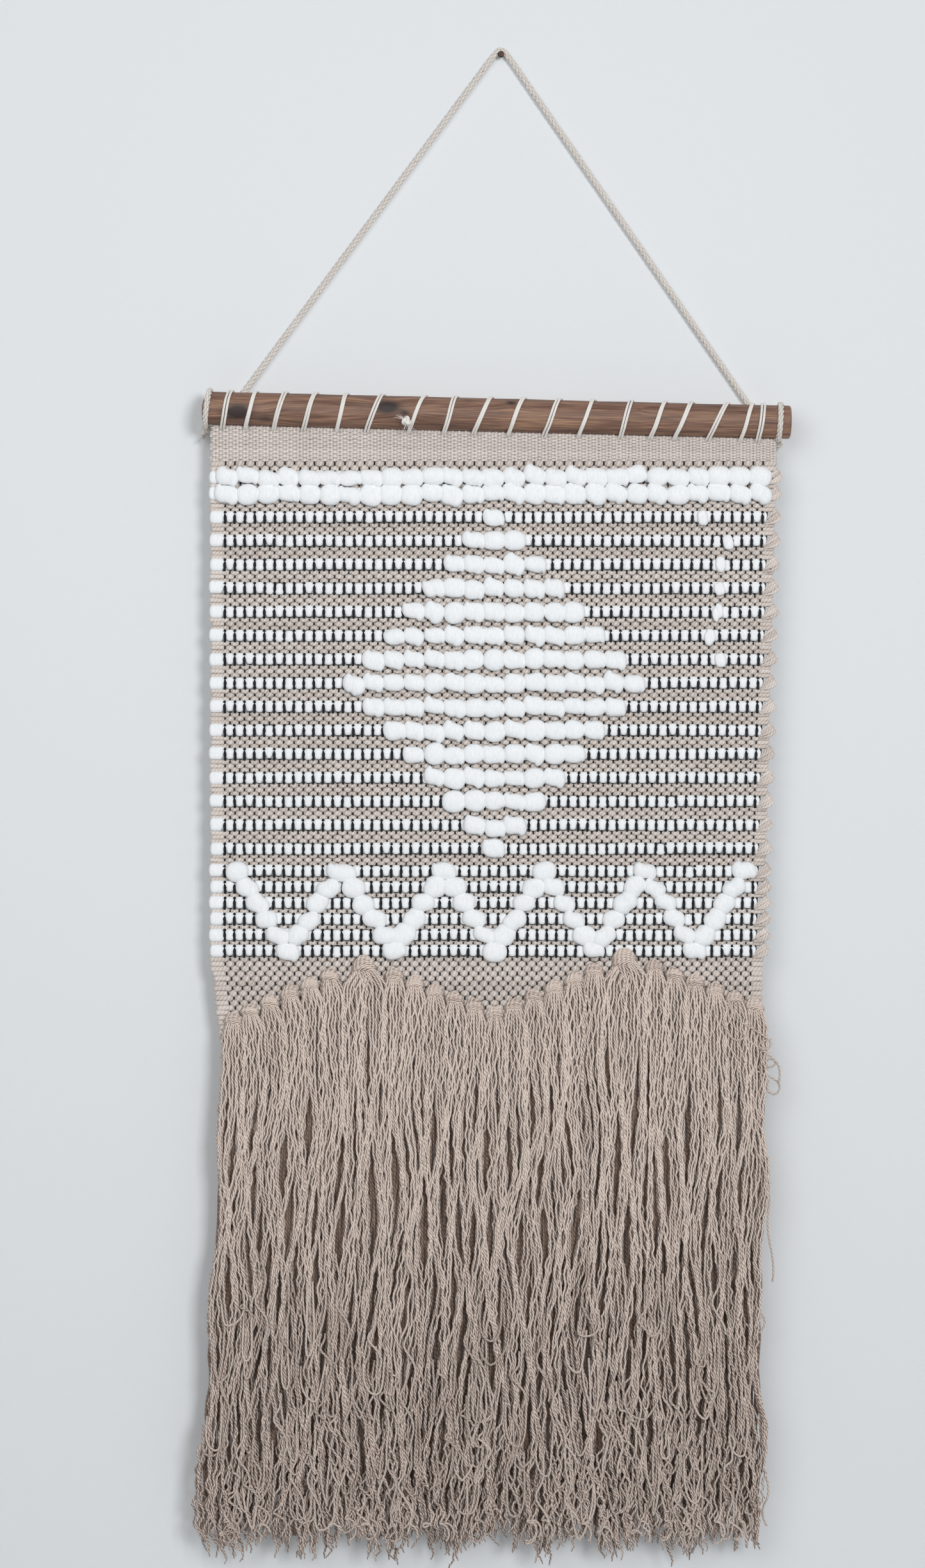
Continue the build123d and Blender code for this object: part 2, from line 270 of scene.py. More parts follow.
def spun_cotton(name, light, dark, lay_mm, plies, ply_groove_shade=0.45, relief_mm=0.25,
                fleck=None, darker_below=False, rib_shade_mm=None):
    """Spun and plied cotton: matt, a little hairy, with a slanting line between its plies; the colour also
    darkens along that groove, which is painted shade.

    The plies follow the yarn's own UV map, one period for each ply in each lay; cotton has an
    IOR near 1.5 and scatters almost evenly, so it is rough with a faint sheen at its edges.
    """
    material, tree, output = new_material(name)
    run = add_node(tree, "ShaderNodeUVMap", uv_map="run").outputs[0]
    scaled = add_node(tree, "ShaderNodeMapping", {
        "Vector": run, "Scale": (plies / (lay_mm * MM), float(plies), 1.0)}, vector_type="POINT")
    period = 0.62832
    twist = add_node(tree, "ShaderNodeTexWave", {
        "Vector": scaled.outputs[0], "Scale": period, "Distortion": 0.0},
        wave_type="BANDS", bands_direction="DIAGONAL", wave_profile="SIN")
    place = add_node(tree, "ShaderNodeTexCoord").outputs["Object"]
    fibres = add_node(tree, "ShaderNodeTexNoise", {"Vector": place, "Scale": 900.0, "Detail": 3.0})
    patches = add_node(tree, "ShaderNodeTexNoise", {"Vector": place, "Scale": 55.0, "Detail": 3.0})
    tone = add_node(tree, "ShaderNodeAttribute", attribute_name="shade").outputs["Fac"]
    # Painted shade: the colour darkens along the groove between the plies, following the twist wave.
    mixed = add_node(tree, "ShaderNodeMath", {0: twist.outputs[1], 1: ply_groove_shade}, operation="MULTIPLY")
    for source, weight in ((fibres.outputs[0], 0.35), (patches.outputs[0], 0.35), (tone, 0.45)):
        mixed = add_node(tree, "ShaderNodeMath", {0: source, 1: weight, 2: mixed.outputs[0]},
                         operation="MULTIPLY_ADD")
    # Painted light and shade: light and dark colour stripes a rib apart stand in for how light falls on the
    # hem's ribs.
    if rib_shade_mm:
        rib_shade_stripes = add_node(tree, "ShaderNodeTexWave",
                        {"Vector": place, "Scale": 0.31416 / (rib_shade_mm * MM), "Distortion": 0.6},
                        wave_type="BANDS", bands_direction="X", wave_profile="SIN")
        mixed = add_node(tree, "ShaderNodeMath", {0: rib_shade_stripes.outputs[1], 1: 0.5, 2: mixed.outputs[0]},
                         operation="MULTIPLY_ADD")
    # Darker towards the bottom: the colour darkens by up to 0.28 of its range from 1.0 m to 1.38 m below the
    # origin.
    if darker_below:
        height_up = add_node(tree, "ShaderNodeSeparateXYZ", {0: place}).outputs[2]
        darkening_below = add_node(tree, "ShaderNodeMapRange",
                          {0: height_up, "From Min": -1.0, "From Max": -1.38, "To Max": 0.28})
        mixed = add_node(tree, "ShaderNodeMath", {0: mixed.outputs[0], 1: darkening_below.outputs[0]},
                         operation="SUBTRACT")
    share = add_node(tree, "ShaderNodeMapRange", {0: mixed.outputs[0], "From Min": 0.3, "From Max": 1.2})
    tint = add_node(tree, "ShaderNodeMix", {0: share.outputs[0], 6: colour(dark), 7: colour(light)},
                    data_type="RGBA")
    shown = tint.outputs[2]
    if fleck:
        specks = add_node(tree, "ShaderNodeTexVoronoi", {"Vector": place, "Scale": 130.0})
        rare = add_node(tree, "ShaderNodeMath", {0: specks.outputs["Distance"], 1: 0.07},
                        operation="LESS_THAN")
        shown = add_node(tree, "ShaderNodeMix", {0: rare.outputs[0], 6: shown, 7: colour(fleck)},
                         data_type="RGBA").outputs[2]
    height = add_node(tree, "ShaderNodeMath", {0: fibres.outputs[0], 1: 0.25, 2: twist.outputs[1]},
                      operation="MULTIPLY_ADD")
    bump = add_node(tree, "ShaderNodeBump", {"Height": height.outputs[0], "Strength": 0.8,
                                             "Distance": relief_mm * MM})
    cloth = add_node(tree, "ShaderNodeBsdfPrincipled", {
        "Base Color": shown, "Roughness": 0.92, "IOR": 1.5, "Specular IOR Level": 0.25,
        "Sheen Weight": 0.25, "Sheen Roughness": 0.5, "Normal": bump.outputs[0]})
    tree.links.new(cloth.outputs[0], output.inputs["Surface"])
    return material


cord_thickness = 6.0 * MM
cord_route = [
    (-0.27673, -0.0044, -0.36440), (-0.02393, -0.0044, -0.02400), (-0.002464, -0.0044, 0.0049),
    (0.002573, -0.0044, 0.0049), (0.02301, -0.0044, -0.02473), (0.26264, -0.0044, -0.37210)]
cord_material = spun_cotton("undyed cotton cord", "EDE8E2", "BCB3A9", 9.0, 2, relief_mm=0.35,
                            fleck="6B5E55")


def smooth_route(name, route):
    """Evenly spaced points along the smooth line that has the route's points as its controls."""
    data = bpy.data.curves.new(name, "CURVE")
    data.dimensions = "3D"
    data.resolution_u = 60
    line = data.splines.new("NURBS")
    line.points.add(len(route) - 1)
    line.points.foreach_set("co", [c for point in route for c in (*point, 1.0)])
    line.order_u = 3
    line.use_endpoint_u = True
    holder = bpy.data.objects.new(name, data)
    mesh = bpy.data.meshes.new_from_object(holder)
    found = np.zeros(len(mesh.vertices) * 3)
    mesh.vertices.foreach_get("co", found)
    bpy.data.objects.remove(holder)
    bpy.data.meshes.remove(mesh)
    found = found.reshape(1, -1, 3)
    run = run_length(found)[0]
    even = np.linspace(0, run[-1], int(run[-1] / (1.2 * MM)))
    return np.stack([np.interp(even, run, found[0, :, i]) for i in range(3)], axis=-1)[None]


def twisted_cord(name, path, across, thickness, lay, material, body):
    """Three strands laid round each other: each is 0.98 of the cord's radius thick and its centre
    0.52 of the radius out, so that the three press into each other a little."""
    radius = thickness / 2
    wound = strands_round(path, across, 3, 0.52 * radius, lay)
    points = yarn_points(wound, across, 0.98 * radius, 0.98 * radius, 7)
    return skin(name, points, run_length(wound), np.full(len(wound), 0.5), material, body)


cord_path = smooth_route("cord_line", cord_route)
cord_lay = 17.0 * MM
hanging_cord = twisted_cord("hanging_cord_strands", cord_path, (0, 1, 0), cord_thickness, cord_lay,
                            cord_material, "hanger")
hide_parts("hanging_cord")

# ---------------------------------------------------------------------------
# Nail: a plain wire nail, its bright finish gone dull and rusting where the wall's
# damp reaches it. The CAD solid is its true shape, so it only takes this finish.
# ---------------------------------------------------------------------------


def rusting_steel():
    """Drawn steel wire, dark grey and half bright, with matt brown rust in patches 2 mm across."""
    material, tree, output = new_material("rusting steel nail")
    place = add_node(tree, "ShaderNodeTexCoord").outputs["Object"]
    patches = add_node(tree, "ShaderNodeTexNoise", {"Vector": place, "Scale": 480.0, "Detail": 5.0})
    rust = add_node(tree, "ShaderNodeMapRange", {0: patches.outputs[0], "From Min": 0.48, "From Max": 0.6})
    tint = add_node(tree, "ShaderNodeMix", {
        0: rust.outputs[0], 6: colour("35302F"), 7: colour("7A4A3A")}, data_type="RGBA")
    rough = add_node(tree, "ShaderNodeMapRange", {0: rust.outputs[0], "To Min": 0.38, "To Max": 0.85})
    metal = add_node(tree, "ShaderNodeMath", {0: 0.95, 1: rust.outputs[0]}, operation="SUBTRACT")
    bump = add_node(tree, "ShaderNodeBump", {"Height": patches.outputs[0], "Strength": 0.6,
                                             "Distance": 0.0003})
    steel = add_node(tree, "ShaderNodeBsdfPrincipled", {
        "Base Color": tint.outputs[2], "Roughness": rough.outputs[0], "Metallic": metal.outputs[0],
        "Normal": bump.outputs[0]})
    tree.links.new(steel.outputs[0], output.inputs["Surface"])
    return material


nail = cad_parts["wall_nail"]
nail.data.materials.clear()
nail.data.materials.append(rusting_steel())

# ---------------------------------------------------------------------------
# Stick: a peeled and weathered branch, 32 mm thick, with long grain, three dark
# knots, a slanting saw cut at the left end and a worn edge at the right one.
# ---------------------------------------------------------------------------

stick_low, stick_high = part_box("hanging_stick")
stick_radius = (stick_high.y - stick_low.y) / 2
stick_left = np.array([stick_low.x, (stick_low.y + stick_high.y) / 2, stick_high.z - stick_radius])
stick_right = np.array([stick_high.x, stick_left[1], stick_low.z + stick_radius])
stick_length = np.linalg.norm(stick_right - stick_left)
stick_axis = (stick_right - stick_left) / stick_length
# Knots in the wood: share of the length, angle (half a turn is the front, more is lower), length, darkness.
stick_knots = [(0.062, math.pi + 0.30, 14.0, 1.0), (0.314, math.pi - 0.24, 12.0, 1.0),
               (0.345, math.pi + 0.1, 5.0, 0.6),
               (0.524, math.pi - 0.76, 5.0, 0.8), (0.11, math.pi + 0.7, 9.0, 0.5), (0.74, math.pi - 0.5,
                       3.0, 0.35)]


def stick_at(station):
    """Centre of the stick at a distance from its left end."""
    return stick_left + stick_axis * np.asarray(station)[..., None]


def stick_surface(rings, sides):
    """Branch skin: angle a runs from the back over the top, and the radius is 1 + three slow waves,
    swelling at the knots.

    The end rings close in to a worn edge and a flat face, and the saw cut leans over the top of the
    left end. The grain's own coordinates are the same place with a turned aside near each knot.
    """
    body = np.linspace(0, 1, rings)
    edge = np.array([0.02, 0.5, 0.86, 0.965])
    share = np.concatenate([edge, np.ones(rings), edge[::-1]])
    inset = np.array([0.0, 0.0, 0.15, 0.9]) * MM
    station = np.concatenate([inset, 2.5 * MM + body * (stick_length - 5.0 * MM),
                              stick_length - inset[::-1]])
    s, a = np.meshgrid(station / stick_length, np.arange(sides) * 2 * math.pi / sides, indexing="ij")
    waves = 0.010 * np.sin(9.0 * s + 1.0) * np.cos(a + 0.4) + 0.006 * np.sin(31.0 * s + 2.0 * a)
    waves = waves + 0.004 * np.sin(70.0 * s - 3.0 * a)
    swell, dark, aside = np.zeros_like(s), np.zeros_like(s), np.zeros_like(s)
    for place, at, size, depth in stick_knots:
        along_gap = (s - place) * stick_length / MM
        round_gap = np.angle(np.exp(1j * (a - at))) * stick_radius / MM
        near = np.exp(-(along_gap / size) ** 2 - (round_gap / (0.55 * size)) ** 2)
        wide = np.exp(-(along_gap / (2.4 * size)) ** 2 - (round_gap / (1.3 * size)) ** 2)
        swell += 0.012 * depth * near
        dark += depth * near
        aside += 0.35 * wide * np.tanh(round_gap / 3.0)
    radius = stick_radius * share[:, None] * (0.985 + waves + swell)
    top_half = np.maximum(0, np.sin(a)) ** 1.5
    lean = 4.5 * MM * np.clip(1 - s * stick_length / (40.0 * MM), 0, 1) * top_half * share[:, None]
    back, top = np.array([0.0, 1.0, 0.0]), np.cross(stick_axis, [0.0, 1.0, 0.0])
    centre = stick_left + stick_axis * (station[:, None] + lean)[..., None]
    ring = back * np.cos(a)[..., None] + top * np.sin(a)[..., None]
    grain = np.stack([s * stick_length, radius * np.cos(a + aside), radius * np.sin(a + aside)], axis=-1)
    return centre + ring * radius[..., None], station, dark, grain


def peeled_branch():
    """Bare hardwood branch: warm brown, satin where handled, grain 1 mm apart that flows round the knots.

    The grain is noise drawn out about 20 to 1 along the stick; wood has an IOR near 1.5.
    """
    material, tree, output = new_material("peeled branch wood")
    run = add_node(tree, "ShaderNodeAttribute", attribute_name="grain").outputs["Vector"]
    broad = add_node(tree, "ShaderNodeMapping", {"Vector": run, "Scale": (11.0, 190.0, 190.0)})
    fine = add_node(tree, "ShaderNodeMapping", {"Vector": run, "Scale": (34.0, 900.0, 900.0)})
    bands = add_node(tree, "ShaderNodeTexNoise",
                     {"Vector": broad.outputs[0], "Scale": 1.0, "Detail": 5.0, "Distortion": 0.4})
    lines = add_node(tree, "ShaderNodeTexNoise", {"Vector": fine.outputs[0], "Scale": 1.0, "Detail": 4.0})
    grain = add_node(tree, "ShaderNodeMath", {0: lines.outputs[0], 1: 0.6}, operation="MULTIPLY")
    grain = add_node(tree, "ShaderNodeMath", {0: bands.outputs[0], 1: 0.6, 2: grain.outputs[0]},
                     operation="MULTIPLY_ADD")
    share = add_node(tree, "ShaderNodeMapRange", {0: grain.outputs[0], "From Min": 0.42, "From Max": 0.78})
    ramp = add_node(tree, "ShaderNodeValToRGB", {0: share.outputs[0]})
    ramp.color_ramp.elements[0].color = colour("52382D")
    ramp.color_ramp.elements[1].color = colour("A98468")
    middle = ramp.color_ramp.elements.new(0.5)
    middle.color = colour("7E5F4F")
    stain = add_node(tree, "ShaderNodeAttribute", attribute_name="knot").outputs["Fac"]
    ragged = add_node(tree, "ShaderNodeMath", {0: lines.outputs[0], 1: 0.9}, operation="MULTIPLY")
    ragged = add_node(tree, "ShaderNodeMath", {0: ragged.outputs[0], 1: stain, 2: stain},
                      operation="MULTIPLY_ADD")
    ragged = add_node(tree, "ShaderNodeMapRange",
                      {0: ragged.outputs[0], "From Min": 0.12, "From Max": 0.95, "To Max": 0.95})
    tint = add_node(tree, "ShaderNodeMix", {
        0: ragged.outputs[0], 6: ramp.outputs[0], 7: colour("2C2322")}, data_type="RGBA")
    rough = add_node(tree, "ShaderNodeMapRange", {0: share.outputs[0], "To Min": 0.5, "To Max": 0.68})
    bump = add_node(tree, "ShaderNodeBump", {"Height": grain.outputs[0], "Strength": 0.6,
                                             "Distance": 0.0006})
    wood = add_node(tree, "ShaderNodeBsdfPrincipled", {
        "Base Color": tint.outputs[2], "Roughness": rough.outputs[0], "IOR": 1.5, "Normal": bump.outputs[0]})
    tree.links.new(wood.outputs[0], output.inputs["Surface"])
    return material


stick_points, stick_station, stick_dark, stick_grain = stick_surface(240, 72)
stick = skin("peeled_stick", stick_points[None], stick_station[None], np.array([0.5]), peeled_branch(),
             "hanger")
stick_stain = stick.data.attributes.new("knot", "FLOAT", "POINT")
stick_stain.data.foreach_set("value", stick_dark.astype(np.float32).ravel())
stick_flow = stick.data.attributes.new("grain", "FLOAT_VECTOR", "POINT")
stick_flow.data.foreach_set("vector", stick_grain.astype(np.float32).ravel())
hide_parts("hanging_stick")

# ---------------------------------------------------------------------------
# Hitches: one turn of the cord round each end of the stick and a hard knot behind
# and under it, its cut end frayed out.
# ---------------------------------------------------------------------------


hitch_stand_off = 0.8 * MM


def hitch_turn(station, lean):
    """A turn round the stick: centre + reach * (out cos a + up sin a), leaning along the stick by lean
    times the height. It is drawn tight, and its inner side sinks about 2 mm into the wood."""
    angle = np.linspace(-0.6 * math.pi, 1.5 * math.pi, 90)
    reach = stick_radius + hitch_stand_off
    ring = np.stack([np.zeros_like(angle), -np.cos(angle), np.sin(angle)], axis=-1)
    return (stick_at(station) + stick_axis * lean * np.sin(angle)[:, None] + ring * reach)[None]


def knot_path(centre, size, tilt):
    """Trefoil: (sin t + 2 sin 2t, cos t - 2 cos 2t, -1.4 sin 3t) scaled to size and turned by tilt."""
    t = np.linspace(0, 2 * math.pi, 80)
    shape = np.stack([np.sin(t) + 2 * np.sin(2 * t), -1.4 * np.sin(3 * t), np.cos(t) - 2 * np.cos(2 * t)],
                     axis=-1) / 3.0
    turn = np.array([[math.cos(tilt), 0, math.sin(tilt)], [0, 1, 0], [-math.sin(tilt), 0, math.cos(tilt)]])
    return (np.asarray(centre) + size * shape @ turn.T)[None]


def frayed_end(rng, start, aim, count, length, spread, thickness):
    """Loose fibres: start + aim * length * t + a random sideways drift * t ** 1.6, drawn to a point."""
    t = np.linspace(0, 1, 9)[None, :, None]
    drift = rng.normal(size=(count, 1, 3)) * spread
    reach = length * rng.uniform(0.6, 1.1, (count, 1, 1))
    paths = np.asarray(start) + np.asarray(aim) * reach * t + drift * t ** 1.6
    paths[:, :, 1] = np.minimum(paths[:, :, 1], -1.2 * MM)
    taper = thickness * (1 - 0.75 * t[..., 0])
    return yarn_points(paths, (0.2, 1.0, 0.1), taper, taper, 5), run_length(paths)


hitch_rng = np.random.default_rng(11)
for side_name, lean in (("left", 2.4 * MM), ("right", 1.2 * MM)):
    hitch_low, hitch_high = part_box(f"cord_hitch_{side_name}")
    ring_x = hitch_low.x + 7.5 * MM
    inward = 1.0 * MM if side_name == "left" else 0.0
    station = (ring_x + inward - stick_left[0]) / stick_axis[0]
    turn = hitch_turn(station, lean)
    knot_centre = (ring_x - 1.5 * MM, hitch_high.y - 7.8 * MM, hitch_low.z + 8.0 * MM)
    made = twisted_cord(f"{side_name}_hitch_turn", turn, (1, 0, 0), cord_thickness * 0.96, cord_lay,
                        cord_material, "hanger")
    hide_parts(f"cord_hitch_{side_name}")
    knot = knot_path(knot_centre, 4.7 * MM, 0.6)
    twisted_cord(f"{side_name}_hitch_knot", knot, (0.1, 1.0, 0.2), 4.6 * MM, 14.0 * MM, cord_material,
                 "hanger")
    end_points, end_run = frayed_end(hitch_rng, knot_centre, (-0.25, -0.55, -0.8), 26, 13.0 * MM, 2.6 * MM,
                                     1.1 * MM)
    skin(f"{side_name}_hitch_fray", end_points, end_run, hitch_rng.uniform(0, 1, 26), cord_material,
         "hanger")

# ---------------------------------------------------------------------------
# Lacing: one long doubled cotton twine that whips the hem to the stick. It comes
# over the top, slants down the front to the left, goes in through the hem's edge
# and climbs up the back to the next turn. Where it was joined is a frayed knot.
# ---------------------------------------------------------------------------

# Where each turn crosses the top and the bottom of the stick's front, from the right, in mm along X.
lacing_tops = [250, 240, 216, 182, 157, 124, 88, 56, 22, -9, -43, -72, -113, -147, -176, -205, -233, -257]
lacing_bottoms = [244, 227, 196, 164, 141, 113, 73, 40, 6, -27, -55, -89, -129, -157, -189, -217, -244,
                  -266]
lacing_clear = 1.0 * MM
twine_material = spun_cotton("cotton lacing twine", "FAF8F4", "D9D2C9", 6.0, 2, relief_mm=0.2)


def lacing_line():
    """Angle a runs from the top (0) over the front to the bottom (pi) and up the back (2 pi).

    X goes through the listed crossings, eased by a cosine; the reach from the stick's axis is its
    radius and a clearance, plus a dip of 2.6 mm at the bottom, where the twine goes through the hem.
    """
    crossings = np.concatenate([[256], np.ravel(np.column_stack([lacing_tops, lacing_bottoms])),
                                [-271]]) * MM
    turn = np.linspace(0.0, len(crossings) - 1.4, 22 * (len(crossings) - 1) + 1)
    step = np.minimum(turn.astype(int), len(crossings) - 2)
    share = turn - step
    eased = 0.65 * share + 0.35 * (1 - np.cos(math.pi * share)) / 2
    x = crossings[step] + (crossings[step + 1] - crossings[step]) * eased
    a = (turn - 1) * math.pi
    from_bottom = np.angle(np.exp(1j * (a - math.pi)))
    wander = 0.35 * MM * np.sin(5.3 * turn) * np.sin(a)
    reach = stick_radius + lacing_clear + 2.6 * MM * np.exp(-(from_bottom / 0.36) ** 2)
    centre = stick_at((x - stick_left[0]) / stick_axis[0])
    ring = np.stack([np.zeros_like(a), -np.sin(a), np.cos(a)], axis=-1)
    return (centre + ring * reach[:, None] + stick_axis * wander[:, None])[None]


lacing_path = lacing_line()
lacing_turn = np.linspace(0, 1, lacing_path.shape[1])
pair_gap = 1.12 * MM * (1 + 0.3 * np.sin(47 * lacing_turn))
pair = np.concatenate([lacing_path - stick_axis * pair_gap[:, None],
                       lacing_path + stick_axis * pair_gap[:, None]])
lacing = skin("lacing_twine_pair", yarn_points(pair, (1, 0, 0), 2.25 * MM, 2.25 * MM, 8), run_length(pair),
              np.array([0.45, 0.6]), twine_material, "cloth")
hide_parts("lacing_twine")

lacing_rng = np.random.default_rng(5)
join_x, join_angle = -90.0 * MM, 2.05
join_outward = np.array([0, -math.sin(join_angle), math.cos(join_angle)])
join_centre = stick_at((join_x - stick_left[0]) / stick_axis[0]) + join_outward * (stick_radius + 4.4 * MM)
join_knot = knot_path(join_centre, 3.6 * MM, 1.1)
skin("lacing_join_knot", yarn_points(join_knot, (0.1, 1.0, 0.2), 2.9 * MM, 2.9 * MM, 8),
     run_length(join_knot),
     np.array([0.6]), twine_material, "cloth")
for number, aim in enumerate([(-0.7, -0.3, 0.55), (0.55, -0.35, -0.7), (-0.2, -0.5, -0.8)]):
    fray_points, fray_run = frayed_end(lacing_rng, join_centre, aim, 12, 11.0 * MM, 2.6 * MM, 0.9 * MM)
    skin(f"lacing_join_fray_{number + 1}", fray_points, fray_run, lacing_rng.uniform(0, 1, 12),
         twine_material, "cloth")

# ---------------------------------------------------------------------------
# Woven panel: where every warp and every row of weft goes. The warps run at an even
# spacing between the two selvedges, which lean together a little towards the bottom.
# ---------------------------------------------------------------------------

row_names = sorted(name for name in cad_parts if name.startswith("jersey_row_"))
row_boxes = [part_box(name) for name in row_names]
row_z = np.array([(low.z + high.z) / 2 for low, high in row_boxes])
row_right = np.array([high.x for low, high in row_boxes])
hem_low, hem_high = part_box("hem_band")
weave_low, weave_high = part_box("ground_weave")
first_warp, last_warp = -3.05, 110.7      # the selvedges, counted in warps from the first one that shows
shown_warps = 109


def edge_left(z):
    """Left selvedge: straight, then drawn in below the last jersey row."""
    return hem_low.x + 0.125 * np.maximum(0, row_z[-1] - 11 * MM - z)


def edge_right(z):
    """Right selvedge, a straight line through the jersey rows' ends, carried on to the bottom."""
    slope = (row_right[-1] - row_right[0]) / (row_z[-1] - row_z[0])
    return row_right[0] + slope * (z - row_z[0])


def warp_x(q, z):
    """X of warp number q, which may be a fraction, at a height."""
    return edge_left(z) + (q - first_warp) / (last_warp - first_warp) * (edge_right(z) - edge_left(z))


# Picks of weft from the top of the level rows down: height, thickness across the row, kind.
pick_z, pick_tall, pick_kind = [], [], []


def fill_rows(top, bottom, count):
    """Lay a number of tan picks evenly between two heights."""
    for i in range(count):
        pick_z.append(top + (bottom - top) * (i + 0.5) / count)
        pick_tall.append((top - bottom) / count)
        pick_kind.append("tan")


half_jersey = 5.3 * MM
tan_counts = [2, 1] + [3] * 16 + [1] * 5 + [21]
tan_tops = [hem_low.z] + list(row_z - half_jersey)
tan_bottoms = list(row_z + half_jersey) + [weave_low.z]
for number, (top, bottom, count) in enumerate(zip(tan_tops, tan_bottoms, tan_counts)):
    fill_rows(top, bottom, count)
    if number < len(row_z):
        pick_z.append(row_z[number])
        pick_tall.append(2 * half_jersey)
        pick_kind.append("jersey")
pick_z, pick_tall, pick_kind = np.array(pick_z), np.array(pick_tall), np.array(pick_kind)
first_jersey = int(np.argmax(pick_kind == "jersey"))
pick_side = np.where((np.arange(len(pick_z)) - first_jersey) % 2 == 0, 1.0, -1.0)


def slow_noise(rng, at, count, waves, period):
    """Smooth noise for each of a number of yarns: a sum of sines of at / period, each with its own
    phase."""
    total = 0.0
    for _ in range(waves):
        phase = rng.uniform(0, 2 * math.pi, (count, 1))
        total = total + np.sin(at * 2 * math.pi / (period * rng.uniform(0.6, 1.7, (count, 1))) + phase)
    return total / math.sqrt(waves)


def ease(value, low, high):
    """0 below low, 1 above high and a smooth cubic step between."""
    share = np.clip((value - low) / (high - low), 0, 1)
    return share * share * (3 - 2 * share)


weave_mid = (weave_low.y + weave_high.y) / 2
weave_rng = np.random.default_rng(7)


def rounded_end(q, z):
    """1 inside the panel, falling as the root of a circle over the last 2.5 mm at either selvedge."""
    from_edge = np.minimum(warp_x(q, z) - edge_left(z), edge_right(z) - warp_x(q, z)) / (2.5 * MM)
    return np.sqrt(np.clip(1 - (1 - np.clip(from_edge, 0, 1)) ** 2, 0, 1))


def tan_weft(z, tall, side, dip, thick, per_warp, sides):
    """Plain-weave picks: y = mid + side * dip * cos(pi q), where q counts warps, so that a pick passes over
    one warp and under the next. It swells to 1.4 times its row where it lies in front, and runs level in
    the selvedge bands."""
    count = len(z)
    q = np.linspace(first_warp, last_warp, int((last_warp - first_warp) * per_warp) + 1)[None]
    z = np.broadcast_to(z[:, None], (count, q.shape[1]))
    inside = ease(q, -0.9, 0.1) * (1 - ease(q, 107.9, 108.9))
    under = side[:, None] * np.cos(math.pi * q)
    end = rounded_end(q, z)
    edge_wave = weave_rng.normal(0, 0.7 * MM, (count, 1))
    x = warp_x(q, z) + edge_wave * (1 - ease(q, -2.5, 1.5))
    x = x + 0.25 * MM * slow_noise(weave_rng, q, count, 2, 6.0) * inside
    y = weave_mid + dip * under * inside - 0.5 * MM * (1 - inside) + 1.2 * MM * (1 - end)
    z = z + 0.22 * MM * slow_noise(weave_rng, q, count, 3, 9.0)
    loose = slow_noise(weave_rng, q / 14 + z * 40, 1, 3, 1.0)
    bead = 1.12 - (0.29 + 0.08 * loose) * under * inside + 0.04 * slow_noise(weave_rng, q, count, 2, 3.0)
    height = tall[:, None] * bead * (0.3 + 0.7 * end)
    depth = thick * (1 - 0.12 * under * inside) * (0.3 + 0.7 * end)
    paths = np.stack([x, y, z], axis=-1)
    return yarn_points(paths, (0, 1, 0), height, depth, sides), run_length(paths)


# ---------------------------------------------------------------------------
# Ground weave: thick two-ply cotton packed over the dark warps, which show as dots.
# It is one cloth from hem to fringe; its picks are kept in four bands here.
# ---------------------------------------------------------------------------

tan_material = spun_cotton("thick tan cotton weft", "EAE1DA", "B7AAA0", 7.0, 2, relief_mm=0.35,
                           fleck="A97F66")
tan_dip, tan_thick = 1.2 * MM, 2.2 * MM
is_tan = pick_kind == "tan"
band_names = ["weave_top", "weave_middle", "weave_low", "weave_border"]
band_edges = [hem_low.z + 1 * MM, row_z[6], row_z[13], row_z[22], weave_low.z - 1 * MM]
bands = []
for name, top, bottom in zip(band_names, band_edges[:-1], band_edges[1:]):
    chosen = is_tan & (pick_z < top) & (pick_z >= bottom)
    points, run = tan_weft(pick_z[chosen], pick_tall[chosen], pick_side[chosen], tan_dip, tan_thick, 4, 6)
    band = skin(name, points, run, weave_rng.uniform(0.2, 0.8, int(chosen.sum())), tan_material, "cloth")
    bands.append((band, pick_z[chosen], pick_tall[chosen]))
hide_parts("ground_weave")

fleck_path = np.array([[[206.9, -1.9, -848.6], [208.3, -2.3, -849.2],
                        [209.8, -1.9, -849.0]]]) * MM + np.array([0, weave_mid, 0])
fleck_material = spun_cotton("rust-brown fleck of seed husk", "B0683E", "8A4A2A", 4.0, 2)
skin("weave_husk_fleck", yarn_points(fleck_path, (0, 1, 0), 1.5 * MM, 1.2 * MM, 6), run_length(fleck_path),
     np.array([0.5]), fleck_material, "cloth")

# ---------------------------------------------------------------------------
# Hem: a band of finer weft, beaten close so that no warp shows, worked up to the
# stick's slope, with a two-strand corded edge at its top.
# ---------------------------------------------------------------------------

# The light and shade of the hem's ribs are painted into its colour as stripes 3.2 mm apart.
hem_material = spun_cotton("fine tan cotton weft", "EAE1DB", "B0A39A", 4.0, 2, 0.2, relief_mm=0.25,
                           rib_shade_mm=3.2)
hem_picks = 16
hem_share = (np.arange(hem_picks) + 0.5) / hem_picks
hem_q = np.linspace(first_warp, last_warp, 114 * 3 + 1)[None]


def hem_top(x):
    """The underside of the stick, less the small gap that the lacing leaves."""
    return (stick_at((x - stick_left[0]) / stick_axis[0]))[..., 2] - stick_radius - 1.6 * MM


